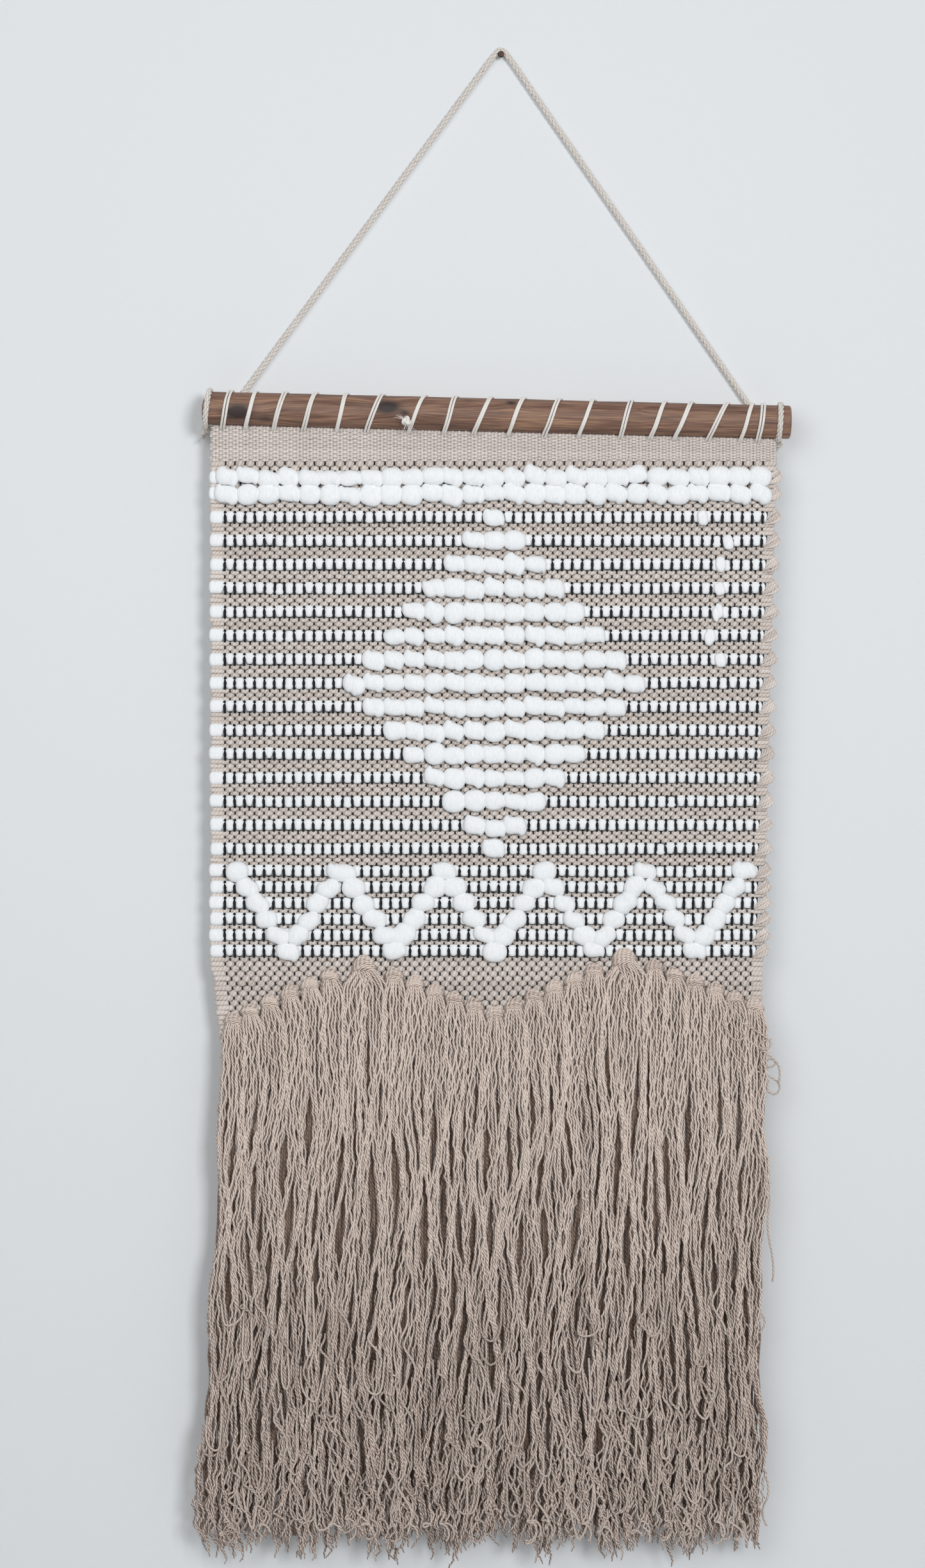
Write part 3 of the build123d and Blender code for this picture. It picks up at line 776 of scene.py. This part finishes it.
def hem_weft():
    """Picks fanned between the stick's slope and the level hem line, dipping 0.75 mm round each warp and
    swelling over it into a rib."""
    level = np.broadcast_to(hem_low.z, (hem_picks, hem_q.shape[1]))
    x = warp_x(hem_q, level)
    top = hem_top(x)
    z = top + (hem_low.z - top) * hem_share[:, None]
    tall = (top - hem_low.z) / hem_picks
    under = np.where(np.arange(hem_picks) % 2 == 0, 1.0, -1.0)[:, None] * np.cos(math.pi * hem_q)
    end = rounded_end(hem_q, level)
    y = weave_mid + 0.75 * MM * under + 1.0 * MM * (1 - end)
    z = z + 0.12 * MM * slow_noise(weave_rng, hem_q, hem_picks, 3, 7.0)
    paths = np.stack([x + 0.8 * MM * np.sin(3.1 * hem_share[:, None] * 6) * (1 - ease(hem_q, -2.5, 1)), y,
                      z], axis=-1)
    height = tall * (1.14 - 0.5 * under) * (0.4 + 0.6 * end)
    return yarn_points(paths, (0, 1, 0), height, 1.25 * MM * (0.4 + 0.6 * end), 6), run_length(paths)


hem_points, hem_run = hem_weft()
hem = skin("hem_weft", hem_points, hem_run, weave_rng.uniform(0.2, 0.8, hem_picks), hem_material, "cloth")
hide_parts("hem_band")

edge_x = np.linspace(edge_left(hem_low.z) + 4 * MM, edge_right(hem_low.z) - 1 * MM, 620)
edge_line = np.stack([edge_x, np.full_like(edge_x, weave_mid),
                      hem_top(edge_x) + 0.3 * MM * np.sin(edge_x * 900)], axis=-1)[None]
edge_strands = strands_round(edge_line, (0, 1, 0), 2, 0.85 * MM, 6.5 * MM)
skin("hem_corded_edge", yarn_points(edge_strands, (0, 1, 0), 1.9 * MM, 1.9 * MM, 5),
     run_length(edge_strands),
     np.array([0.35, 0.6]), hem_material, "cloth")

# ---------------------------------------------------------------------------
# Warps: smooth dark twine, 1.4 mm deep and 1.4 mm wide or more, drawn straight down the
# panel. They show as dots between the tan picks and as wider bars across the white rows.
# ---------------------------------------------------------------------------


def dark_twine():
    """Polished dark blue-black twine: smoother than the weft, with a dull glint."""
    material, tree, output = new_material("dark polished warp twine")
    place = add_node(tree, "ShaderNodeTexCoord").outputs["Object"]
    fibres = add_node(tree, "ShaderNodeTexNoise", {"Vector": place, "Scale": 1800.0, "Detail": 2.0})
    tint = add_node(tree, "ShaderNodeMix", {
        0: fibres.outputs[0], 6: colour("0B0E12"), 7: colour("1B2026")}, data_type="RGBA")
    bump = add_node(tree, "ShaderNodeBump", {"Height": fibres.outputs[0], "Strength": 0.5,
                                             "Distance": 0.0002})
    twine = add_node(tree, "ShaderNodeBsdfPrincipled", {
        "Base Color": tint.outputs[2], "Roughness": 0.7, "IOR": 1.5, "Specular IOR Level": 0.3,
        "Normal": bump.outputs[0]})
    tree.links.new(twine.outputs[0], output.inputs["Surface"])
    return material


def warp_paths(q):
    """Each warp passes in front of a pick where that pick dips behind: y = mid - side * rise * cos(pi q),
    with a rise of 0.6 mm over tan and 4.7 mm over a jersey row, and stays behind in the selvedges."""
    over_z = np.concatenate([[hem_high.z - 12 * MM, hem_low.z + 3 * MM], pick_z, [weave_low.z + 1 * MM]])
    rise = np.where(pick_kind == "jersey", 4.7, 0.6) * MM
    rise = np.concatenate([[0, 0], rise * pick_side, [0]])
    sunk = np.array([1.3 * MM, 1.3 * MM] + [0.0] * (len(pick_z) + 1))
    between = (over_z[:-1] + over_z[1:]) / 2
    z = np.sort(np.concatenate([over_z, between]))[::-1]
    rise_at, sunk_at = np.interp(-z, -over_z, rise), np.interp(-z, -over_z, sunk)
    shoulders = np.concatenate([pick_z[pick_kind == "jersey"] + 4.4 * MM,
                                pick_z[pick_kind == "jersey"] - 4.4 * MM])
    shoulder_rise = 4.4 * MM * np.tile(pick_side[pick_kind == "jersey"], 2)
    order = np.argsort(-np.concatenate([z, shoulders]))
    z, rise_at = np.concatenate([z, shoulders])[order], np.concatenate([rise_at, shoulder_rise])[order]
    sunk_at = np.concatenate([sunk_at, np.zeros(len(shoulders))])[order]
    z, q = np.broadcast_arrays(z[None], q[:, None].astype(float))
    shown = ((q > -0.5) & (q < 108.5)) * 1.0
    x = warp_x(q, z) + 0.35 * MM * slow_noise(weave_rng, z, len(z), 2, 60 * MM) * shown
    y = weave_mid + sunk_at - rise_at * np.cos(math.pi * q) * shown + 0.6 * MM * (1 - shown)
    spread = (1.35 + 1.5 * np.clip(np.abs(rise_at) / (3.0 * MM), 0, 1)) * MM * (0.7 + 0.3 * shown)
    return np.stack([x, y, z], axis=-1), spread


warp_material = dark_twine()
all_warps = np.arange(-2, 111)
for name, chosen in (("warps_left_half", all_warps[:57]), ("warps_right_half", all_warps[57:])):
    paths, spread = warp_paths(chosen)
    skin(name, yarn_points(paths, (0, 1, 0), spread, 1.4 * MM, 5, 0.8),
                            run_length(paths),
                            np.full(len(paths), 0.5), warp_material, "cloth")
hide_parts("warp_threads")

# ---------------------------------------------------------------------------
# Jersey rows: strips cut from white cotton jersey that curl into a soft round yarn,
# woven over and under so that each warp bar nips it into a row of small pillows.
# ---------------------------------------------------------------------------


def cotton_jersey():
    """Knitted cotton jersey strip: bright white and very matt, with faint stretch lines 0.7 mm apart."""
    material, tree, output = new_material("white cotton jersey")
    place = add_node(tree, "ShaderNodeTexCoord").outputs["Object"]
    stretched = add_node(tree, "ShaderNodeMapping", {"Vector": place, "Scale": (900.0, 900.0, 160.0)})
    lines = add_node(tree, "ShaderNodeTexNoise",
                     {"Vector": stretched.outputs[0], "Scale": 1.0, "Detail": 3.0})
    soft = add_node(tree, "ShaderNodeTexNoise", {"Vector": place, "Scale": 160.0, "Detail": 2.0})
    share = add_node(tree, "ShaderNodeMapRange", {0: lines.outputs[0], "From Min": 0.35, "From Max": 0.6})
    tint = add_node(tree, "ShaderNodeMix", {
        0: share.outputs[0], 6: colour("EDF0F2"), 7: colour("F7F9FA")}, data_type="RGBA")
    height = add_node(tree, "ShaderNodeMath", {0: soft.outputs[0], 1: 1.5, 2: lines.outputs[0]},
                      operation="MULTIPLY_ADD")
    bump = add_node(tree, "ShaderNodeBump", {"Height": height.outputs[0], "Strength": 0.3,
                                             "Distance": 0.0004})
    cloth = add_node(tree, "ShaderNodeBsdfPrincipled", {
        "Base Color": tint.outputs[2], "Roughness": 0.95, "IOR": 1.5, "Specular IOR Level": 0.2,
        "Sheen Weight": 0.2, "Sheen Roughness": 0.6, "Normal": bump.outputs[0]})
    tree.links.new(cloth.outputs[0], output.inputs["Surface"])
    return material


jersey_material = cotton_jersey()
jersey_height = 2 * half_jersey
jersey_rng = np.random.default_rng(3)
last_bar = 2 * ((shown_warps - 1) // 2)


def jersey_row(z_row):
    """One row: d runs from 0 in a bar's groove to 1 between bars and the pillow is (1 - (1 - d) ** 3) **
    0.5.

    The front stands 0.6 + 4.2 * pillow mm proud of the weave's middle and the back draws in behind the
    bars.
    """
    between_bars = np.array([-0.30, 0.30, 0.35, 0.44, 0.64, 1.0, 1.36, 1.56, 1.65])
    inner = (np.arange(0, last_bar, 2)[:, None] + between_bars).ravel()
    past = last_bar + np.array([-0.30, 0.30, 0.35, 0.44, 0.6, 0.8, 1.0])
    q = np.concatenate([np.linspace(first_warp, -0.35, 13), inner, past])
    d = np.where(q < 0, np.minimum(-q, 1.0), np.where(q > last_bar, q - last_bar,
            1 - np.abs(np.mod(q, 2) - 1)))
    d = np.clip((d - 0.30) / 0.70, 0, 1)
    pillow = np.sqrt(np.clip(1 - (1 - d) ** 3, 0, 1))
    block = jersey_rng.normal(size=(3, (last_bar // 2) + 3))
    number = np.clip(np.floor(q / 2).astype(int) + 1, 0, block.shape[1] - 1)
    end_block = 1 - ease(q, -0.6, 0.0)
    x_edge = edge_left(z_row) + jersey_rng.uniform(-1.2, 0.6) * MM
    x = warp_x(q, z_row)
    x = x + (x_edge - edge_left(z_row)) * (1 - ease(q, first_warp, 0.0))
    round_left = np.sqrt(np.clip(1 - (1 - np.clip((x - x_edge) / (3.0 * MM), 0, 1)) ** 2, 0, 1))
    round_right = np.sqrt(np.clip((last_bar + 1.0 - q) / 0.6, 0, 1))
    end = round_left * round_right
    front = (0.6 + 4.2 * pillow + 0.25 * block[0][number] * pillow) * MM
    behind = (2.2 - 2.3 * pillow) * MM * (1 - end_block) + 1.8 * MM * end_block
    y = weave_mid + (behind - front) / 2
    z = z_row + (0.5 * pillow + 0.3 * block[1][number] * pillow + 0.35 * np.sin(q / 9 + z_row * 400)) * MM
    tall = jersey_height * (0.84 + 0.19 * pillow + 0.02 * block[2][number] * pillow) + 1.6 * MM * end_block
    tall, depth = tall * (0.35 + 0.65 * end), (front + behind) * (0.4 + 0.6 * end)
    paths = np.stack([x, y, z], axis=-1)[None]
    return yarn_points(paths, (0, 1, 0), tall[None], depth[None], 10, 0.72), run_length(paths)


jersey_rows = []
for name, z_row in zip(row_names, row_z):
    points, run = jersey_row(z_row)
    row = skin(name.replace("jersey_row", "white_row"), points, run, np.array([0.5]), jersey_material,
               "cloth")
    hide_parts(name)
    jersey_rows.append(row)

# ---------------------------------------------------------------------------
# Tufts: the same jersey pulled out of its row in round puffs, two full rows at the
# top, a diamond in the middle and a zigzag below. Seven small ones hide joins at the right.
# ---------------------------------------------------------------------------

panel_middle, tuft_pitch, full_pitch = -6.8 * MM, 19.05 * MM, 19.5 * MM
tuft_rng = np.random.default_rng(19)


def tuft_places():
    """X, row number, width, height and tilt of every tuft."""
    places = []
    for row in (0, 1):
        places += [(-7.5 * MM + (i - 13) * full_pitch, row, 22.4, 18.6 + row, 0.0) for i in range(27)]
    for j in range(15):
        count = 15 - 2 * abs(j - 7)
        places += [(panel_middle + (i - (count - 1) / 2) * tuft_pitch, 2 + j, 21.6, 19.2,
                    0.0) for i in range(count)]
    for r in range(6):
        step = (5 - r) * tuft_pitch / 2
        found = {}
        for m in range(-2, 3):
            for flank in (-1, 1):
                x = panel_middle + 95.25 * MM * m + flank * step - (6 * MM if m == -2 else 0)
                found[round(x * 1000)] = (x, 17 + r, 22.4, 18.2, 0.16 * flank if 0 < r < 5 else 0.0)
        places += list(found.values())
    return np.array(places)


def tuft_points(places, rings, sides):
    """Puffs with their poles at the left and right: s runs from pole to pole and a round it.

    Half-width s, radius (1 - |s| ** 2.8) ** 0.42; a crease crosses most at its own slant, drawing the
    height in by up to a fifth and the depth by up to two fifths, and sliding its two lobes up and
    down past each other.
    """
    count = len(places)
    s = np.sin(np.linspace(-0.5, 0.5, rings) * math.pi)[None, :, None] * 0.999
    a = (np.arange(sides) * 2 * math.pi / sides)[None, None]
    wide = (places[:, 2] * MM / 2 * tuft_rng.uniform(0.93, 1.06, count))[:, None, None]
    high = (places[:, 3] * MM / 2 * tuft_rng.uniform(0.94, 1.08, count))[:, None, None]
    deep = (5.7 * MM * tuft_rng.uniform(0.9, 1.1, count) * np.clip(places[:, 2] / 20, 0.5, 1))[:, None,
            None]
    lobed = (tuft_rng.uniform(0, 1, count) < 0.72)[:, None, None] * tuft_rng.uniform(0.6, 1.0, count)[:,
            None, None]
    slant = tuft_rng.normal(0.35, 0.22, count)[:, None, None]
    off = tuft_rng.uniform(-0.25, 0.25, count)[:, None, None]
    radius = (1 - np.abs(s) ** 2.8) ** 0.42
    x = wide * s + 0 * a
    z = high * radius * np.sign(np.sin(a)) * np.abs(np.sin(a)) ** 0.9
    y = deep * radius * np.cos(a)
    across = (x / wide - off) * np.cos(slant) + z / high * np.sin(slant)
    crease = lobed * np.exp(-np.abs(across / 0.10) ** 1.5)
    outline = 1 + 0.05 * np.sin(2 * a + 3 * s + tuft_rng.uniform(0, 6.3, (count, 1, 1)))
    slide = np.where(places[:, 4] > 0, -1.0, 1.0)[:, None, None]
    z = z * outline * (1 - 0.20 * crease) - slide * lobed * 1.7 * MM * np.tanh(across / 0.15)
    y = y * (1 - 0.42 * crease)
    tilt = places[:, 4][:, None, None] + tuft_rng.normal(0, 0.12, count)[:, None, None]
    x, z = x * np.cos(tilt) - z * np.sin(tilt), x * np.sin(tilt) + z * np.cos(tilt)
    x = x + (places[:, 0] + tuft_rng.normal(0, 0.5 * MM, count))[:, None, None]
    z = z + (row_z[places[:, 1].astype(int)] + tuft_rng.normal(0, 0.8 * MM, count))[:, None, None]
    front_shift = weave_mid - (5.3 * MM + tuft_rng.uniform(-0.4, 0.6, count) * MM)[:, None, None]
    return np.stack([x, front_shift - y, z], axis=-1)


join_places = [(191.6, 2), (216.6, 3), (208.3, 4), (208.3, 5), (206.2, 6), (198.9, 7), (208.3, 8)]
joins = [(x * MM, row, 10.5, 14.0, 0.15) for x, row in join_places]
tufts = np.concatenate([tuft_places(), np.array(joins)])
is_join = tufts[:, 2] < 12
tuft_groups = [("tufts_top_rows", tufts[:, 1] < 2),
               ("tufts_diamond", (tufts[:, 1] >= 2) & (tufts[:, 1] < 17) & ~is_join),
               ("tufts_zigzag", tufts[:, 1] >= 17), ("jersey_joins", is_join)]
for name, chosen in tuft_groups:
    points = tuft_points(tufts[chosen], 15, 12)
    skin(name, points, np.broadcast_to(np.linspace(0, 1, 15) * 20 * MM, (len(points), 15)),
         np.full(len(points), 0.5), jersey_material, "cloth")

# ---------------------------------------------------------------------------
# Right selvedge: where each jersey row turns back, the tan yarn is bound over the edge
# in a slanting bundle of four strands.
# ---------------------------------------------------------------------------


def edge_bundles():
    """Strands t from behind the edge, out past it and down to the left; the four lie side by side,
    closing together at both ends: offset * (0.4 + 0.6 sin(pi t)) square to the slant."""
    z_row = np.repeat(row_z, 4)
    strand = np.tile(np.arange(4), len(row_z)) - 1.5
    count = len(z_row)
    t = np.linspace(0, 1, 14)[None]
    aside = strand[:, None] * 2.7 * MM * (0.4 + 0.6 * np.sin(math.pi * np.clip(t * 1.05, 0, 1)))
    x = edge_right(z_row)[:, None] + 2.8 * MM - 14.0 * MM * np.clip((t - 0.22) / 0.78, 0, 1) ** 1.3
    x = x - 4.5 * MM * np.clip((0.22 - t) / 0.22, 0, 1) ** 2 - 0.45 * aside
    z = z_row[:, None] + 6.0 * MM - 11.5 * MM * t + 0.89 * aside + weave_rng.normal(0, 0.3 * MM, (count, 1))
    y = weave_mid + 2.4 * MM - 6.6 * MM * ease(t, 0.0, 0.42) + 3.2 * MM * ease(t, 0.75, 1.0) + 0.0 * x
    paths = np.stack([x, y, z], axis=-1)
    thick = 3.7 * MM * (0.5 + 0.5 * np.sin(np.clip(t * 1.1 + 0.1, 0, 1) * math.pi))
    return yarn_points(paths, (0, 1, 0), thick, thick, 7), run_length(paths)


bundle_points, bundle_run = edge_bundles()
skin("right_edge_bundles", bundle_points, bundle_run, weave_rng.uniform(0, 1, len(bundle_points)),
     tan_material, "cloth")

# ---------------------------------------------------------------------------
# Tassel knots: each tassel's yarns are folded over the weave in a flat lark's-head
# knot, seen as an oval pillow of eight strands side by side.
# ---------------------------------------------------------------------------

# Its colour darkens towards the bottom of the fringe.
yarn_material = spun_cotton("two-ply cotton fringe yarn", "F5E5D9", "70594C", 8.5, 2, 0.75, relief_mm=0.6,
                            darker_below=True)
knot_count = 27
knot_number = np.arange(knot_count)
column_x = panel_middle + tuft_pitch * (knot_number - 13)
knot_x = column_x - np.where((knot_number > 0) & (knot_number < 6), 4.0 * MM, 0.0)
knot_x[[6, 7]] = column_x[[6, 7]].mean()
knot_x[[19, 20]] = column_x[[19, 20]].mean()
knot_z = -865 * MM + 0.027 * knot_x - 7.9 * MM * np.abs(np.abs(knot_number - 13) - 6.6)
knot_z[[7, 20]] += 3.4 * MM
knot_big = np.where(np.abs(np.abs(knot_number - 13) - 6.6) < 0.7, 1.2, 1.0)
yarn_thick = 2.2 * MM
fringe_rng = np.random.default_rng(23)


def knot_strands(per_knot):
    """Strands over an oval pillow: s from edge to edge, c from its top strand to its bottom one.

    x = half-width * s, z = half-height * c * (1 - s ** 2 / 2) less an arch of 4.2 mm, standing out by the
    root of 1 - s ** 2.
    """
    count = knot_count * per_knot
    x0, z0, big = (np.repeat(v, per_knot)[:, None] for v in (knot_x, knot_z, knot_big))
    c = np.tile(np.linspace(-1, 1, per_knot), knot_count)[:, None]
    s = np.linspace(-1, 1, 9)[None]
    x = x0 + 9.6 * MM * big * s * (1 - 0.12 * c ** 2)
    z = (z0 + 5.4 * MM * big * c * (1 - 0.5 * s ** 2) - 4.2 * MM * big * s ** 2
         + 0.8 * MM * np.sin(2 * s + x0 * 900))
    y = weave_mid - 2.0 * MM - 6.6 * MM * big * np.sqrt(np.clip(1 - s ** 2, 0,
            1)) * np.sqrt(1 - 0.72 * c ** 2)
    y = y + fringe_rng.normal(0, 0.2 * MM, (count, 1))
    paths = np.stack([x + 0 * y, y, z], axis=-1)
    thick = 1.95 * MM * big * np.ones((count, 1)) * (1 - 0.3 * s ** 4)
    return yarn_points(paths, (0, 0, 1), thick, thick, 6), run_length(paths)


knot_points, knot_run = knot_strands(8)
tassel_knots = skin("tassel_knot_strands", knot_points, knot_run,
                    fringe_rng.uniform(0, 1, len(knot_points)),
                    yarn_material, "cloth")
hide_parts("tassel_knots")

# ---------------------------------------------------------------------------
# Fringe: 27 tassels of 24 two-ply yarns each, 0.5 m long, kinked from the skein and
# hanging in clumps that cross each other, with raked, uneven ends.
# ---------------------------------------------------------------------------

tassel_boxes = [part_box(f"tassel_{k + 1:02d}") for k in range(knot_count)]
tassel_bottom = np.array([low.z for low, high in tassel_boxes])
yarns_each = 24


def tassel_foot(knot):
    """Where a tassel's end hangs, a little wider spaced than the knots are."""
    return -20.5 * MM + 19.6 * MM * (knot - 13)


def fringe_paths(knots, steps):
    """Yarn paths: t runs from the knot to the end, and the yarns of a tassel spread over 19 mm in three
    layers.

    They arch out of the knot's middle, so the spread grows with the root of an easing step; x then
    goes to the tassel's foot with a shared sway, a pull into clumps, and each yarn's own kinks.
    """
    rng = np.random.default_rng(100 + int(knots[0]))
    knot = np.repeat(knots, yarns_each)
    order = np.tile(np.arange(yarns_each), len(knots))
    layer = order % 3
    place = (order // 3 - 3.5) / 3.5 + (layer - 1) * 0.1
    count = len(knot)
    t = np.linspace(0, 1, steps)[None]
    top_z = knot_z[knot] + 0.5 * MM + rng.normal(0, 0.8 * MM, count)
    end_z = tassel_bottom[knot] + rng.normal(8 * MM, 8 * MM, count) - rng.uniform(0, 1, count) ** 6 * 6 * MM
    z = top_z[:, None] + (end_z - top_z)[:, None] * t
    fall = (knot_z[knot][:, None] - z) / (500 * MM)
    down = ease(fall, 0.0, 1.05)
    spread = (2.6 * MM * knot_big[knot])[:, None] + 7.4 * MM * np.sqrt(ease(fall, -0.005, 0.045))
    start = knot_x[knot][:, None] + (column_x - knot_x)[knot][:, None] * ease(fall, 0.0, 0.05)
    centre = start * (1 - down) + tassel_foot(knot)[:, None] * down
    column = centre + place[:, None] * spread
    grow = ease(fall, 0.02, 0.9)
    tail = ease(fall, 0.72, 1.02)
    clump = (knot * 10 + order // 8)[:, None]
    pull = (0.26 + 0.24 * np.sin(clump * 1.7 + z * 23)) * ease(fall, 0.08, 0.3) * (1 + 0.7 * tail)
    clump_place = ((order // 8) - 1)[:, None] * 6.4 * MM
    column = column + (centre + clump_place - column) * pull
    shared = 2.6 * MM * np.sin(column * 30 + z * 19 + 0.8) + 1.8 * MM * np.sin(column * 70 - z * 31)
    clump_sway = 3.1 * MM * np.sin(clump * 2.399 + z * (38 + 14 * np.sin(clump * 1.3)))
    own = slow_noise(rng, z, count, 3, 75 * MM) * 1.3 * MM
    kink = slow_noise(rng, z, count, 3, 19 * MM) * 0.85 * MM
    x = column + (shared + clump_sway) * ease(fall, 0.0, 0.32) + own * (0.2 + 0.8 * grow + 1.5 * tail)
    x = x + kink * ease(fall, 0.0, 0.05) * (1 + 1.2 * tail)
    depth = np.array([2.4, 5.6, 9.0])[layer][:, None] * MM
    y = weave_mid - 3.2 * MM - depth * ease(fall, -0.005, 0.035) - 5.5 * MM * ease(fall, 0.1,
            1.0) * (layer[:, None] / 2)
    y = y + slow_noise(rng, z, count, 2, 45 * MM) * 0.9 * MM * ease(fall, 0.02, 0.3)
    # The tone is random for each yarn, plus 0.15 for each layer forward, so the back layers are darker:
    # painted shade.
    return np.stack([x, y, z], axis=-1), rng.uniform(0, 1, count) * 0.7 + layer * 0.15


fringe_pieces = []
fringe_steps = 112
for name, first, last in (("fringe_far_left", 0, 6), ("fringe_left", 6, 11), ("fringe_middle", 11, 16),
                          ("fringe_right", 16, 21), ("fringe_far_right", 21, 27)):
    paths, tone_and_layer_shade = fringe_paths(np.arange(first, last), fringe_steps)
    taper = np.ones(fringe_steps)
    taper[-3:] = (0.95, 0.8, 0.45)
    thick = yarn_thick * taper[None] * np.ones((len(paths), 1))
    fringe = skin(name, yarn_points(paths, (0, 1, 0), thick, thick, 4), run_length(paths), tone_and_layer_shade,
                  yarn_material)
    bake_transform(fringe)
    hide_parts(*[f"tassel_{k + 1:02d}" for k in range(first, last)])
    fringe_pieces.append(fringe)


def inner_paths(steps):
    """The yarns at the back of the fringe, seven to a tassel, which close the gaps between the clumps.
    Their colour is darker than the outer yarn's, as painted shade, so that the gaps look deep from the
    front."""
    knot = np.repeat(knot_number, 7)
    place = np.tile(np.linspace(-8.2, 8.2, 7), knot_count)[:, None] * MM
    count = len(knot)
    t = np.linspace(0, 1, steps)[None]
    top_z = knot_z[knot][:, None] - 16 * MM
    end_z = tassel_bottom[knot][:, None] + fringe_rng.uniform(12, 42, (count, 1)) * MM
    z = top_z + (end_z - top_z) * t
    down = ease((knot_z[knot][:, None] - z) / (500 * MM), 0.0, 1.05)
    x = column_x[knot][:, None] * (1 - down) + tassel_foot(knot)[:, None] * down + place
    x = x + slow_noise(fringe_rng, z, count, 3, 70 * MM) * 1.2 * MM
    y = weave_mid - 4.6 * MM + 0 * x
    return np.stack([x, y, z], axis=-1)


# Painted shade: the inner yarn is coloured darker than the outer yarn so that the gaps between the clumps
# look deep from the front; from behind, the fringe looks browner than it is.
painted_shade_yarn_material = spun_cotton("inner fringe yarn darkened as painted shade", "AD9686", "5C483C", 8.5, 2, 0.5, relief_mm=0.5)
inner = inner_paths(34)
shade_backing_fringe = skin("fringe_inner_shade_backing", yarn_points(inner, (0, 1, 0), 3.6 * MM, 2.4 * MM, 4), run_length(inner),
                    fringe_rng.uniform(0, 0.6, len(inner)), painted_shade_yarn_material)
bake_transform(shade_backing_fringe)
fringe_pieces.append(shade_backing_fringe)


def stray_paths(count, steps):
    """Loose yarns in front of the tassels' lower third: loops (x across, z down and up by a sine),
    wanderers (x by two slow sines) and short curls at the ends (a turn of 3 to 6 mm)."""
    t = np.linspace(0, 1, steps)[None]
    kind = (np.arange(count) % 5)[:, None]
    x0 = fringe_rng.uniform(-268, 234, (count, 1)) * MM
    wide = fringe_rng.uniform(4, 26, (count, 1)) * MM * fringe_rng.choice([-1, 1], (count, 1))
    drop = fringe_rng.uniform(18, 70, (count, 1)) * MM
    phase = fringe_rng.uniform(0, 2 * math.pi, (count, 1))
    height = fringe_rng.uniform(0, 1, (count, 1)) ** 1.4 * 0.20
    foot = -1.412 + 0 * x0
    loop_x = x0 + wide * (1 - np.cos(math.pi * t)) / 2 + 1.6 * MM * np.sin(9 * t + phase)
    loop_z = foot + height + drop * (1 - np.sin(math.pi * t) ** 0.8) + wide * 0.5 * t
    free_x = x0 + (5 * np.sin(5.2 * t + phase) + 2.5 * np.sin(11 * t + 2 * phase)) * MM * ease(t, 0.0, 0.4)
    free_z = foot + height + drop * 1.4 * (1 - t) + 1.5 * MM * np.sin(8 * t + phase)
    turn = 3 + 3 * np.abs(np.sin(phase))
    curl_x = x0 + turn * MM * np.sin(5.5 * t * t + phase) * ease(t, 0.1, 0.5)
    curl_z = (foot - 4 * MM + height * 0.05 + 26 * MM * (1 - t)
              + turn * MM * np.cos(5.5 * t * t + phase) * ease(t, 0.3, 0.7))
    x = np.where(kind < 2, loop_x, np.where(kind < 4, free_x, curl_x))
    z = np.where(kind < 2, loop_z, np.where(kind < 4, free_z, curl_z))
    y = weave_mid - 15.5 * MM - 4.5 * MM * ease(t, 0.0, 0.15) * np.where(kind < 2, 1 - ease(t, 0.85, 1.0),
            1.0)
    return np.stack([x, y - 1.0 * MM * np.sin(7 * t + phase), z], axis=-1)


stray_material = spun_cotton("loose fringe yarn", "E4D5CA", "8A776A", 8.5, 2, 0.6, relief_mm=0.6)
strays = stray_paths(230, 36)
edge_route_mm = [
    [(226, -925), (250, -938), (258, -948), (247, -953), (243, -944), (256, -942)],
    [(236, -944), (256, -958), (262, -966), (252, -970), (248, -962), (259, -960), (266, -972),
     (263, -986)],
    [(232, -968), (252, -976), (266, -984), (262, -996), (250, -991), (254, -981)],
    [(238, -1040), (247, -1056), (256, -1092), (251, -1118), (260, -1160), (257, -1172)],
    [(232, -1212), (243, -1224), (252, -1212), (246, -1200), (238, -1207), (244, -1216)],
    [(212, -905), (221, -915), (216, -922), (209, -915), (217, -909), (224, -922), (219, -930)],
    [(209, -924), (216, -941), (228, -944), (237, -932), (235, -918)],
    [(238, -1290), (251, -1318), (247, -1345), (256, -1372), (245, -1392), (252, -1404)]]
for number, route in enumerate(edge_route_mm):
    depth_mm = weave_mid / MM - 13.0 + 1.5 * (number % 3)
    path = smooth_route(f"edge_yarn_{number + 1}",
                        [(x * MM, (depth_mm - 2.0 * (step % 2)) * MM, z * MM) for step,
                         (x, z) in enumerate(route)])
    loose = skin(f"fringe_edge_yarn_{number + 1}", yarn_points(path, (0, 1, 0), 1.9 * MM, 1.9 * MM, 6),
                 run_length(path),
                 np.array([0.5]), stray_material)
    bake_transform(loose)
skin("fringe_strays", yarn_points(strays, (0, 1, 0), 2.2 * MM, 2.2 * MM, 5), run_length(strays),
     fringe_rng.uniform(0.0, 0.9, len(strays)), stray_material, "fringe")

# ---------------------------------------------------------------------------
# The panel as a cloth: the hem and the four bands were woven flat and hang under their
# own weight, with the jersey, the knots and the fringe worked into them.
# ---------------------------------------------------------------------------

on_panel = [row.name for row in jersey_rows] + [name for name, _ in tuft_groups] + ["right_edge_bundles"]
for band, z_picks, tall_picks in bands:
    worked = ["tassel_knot_strands"] + [p.name for p in fringe_pieces] if band.name == "weave_border" else []
    worked = on_panel if band.name == "weave_top" else worked
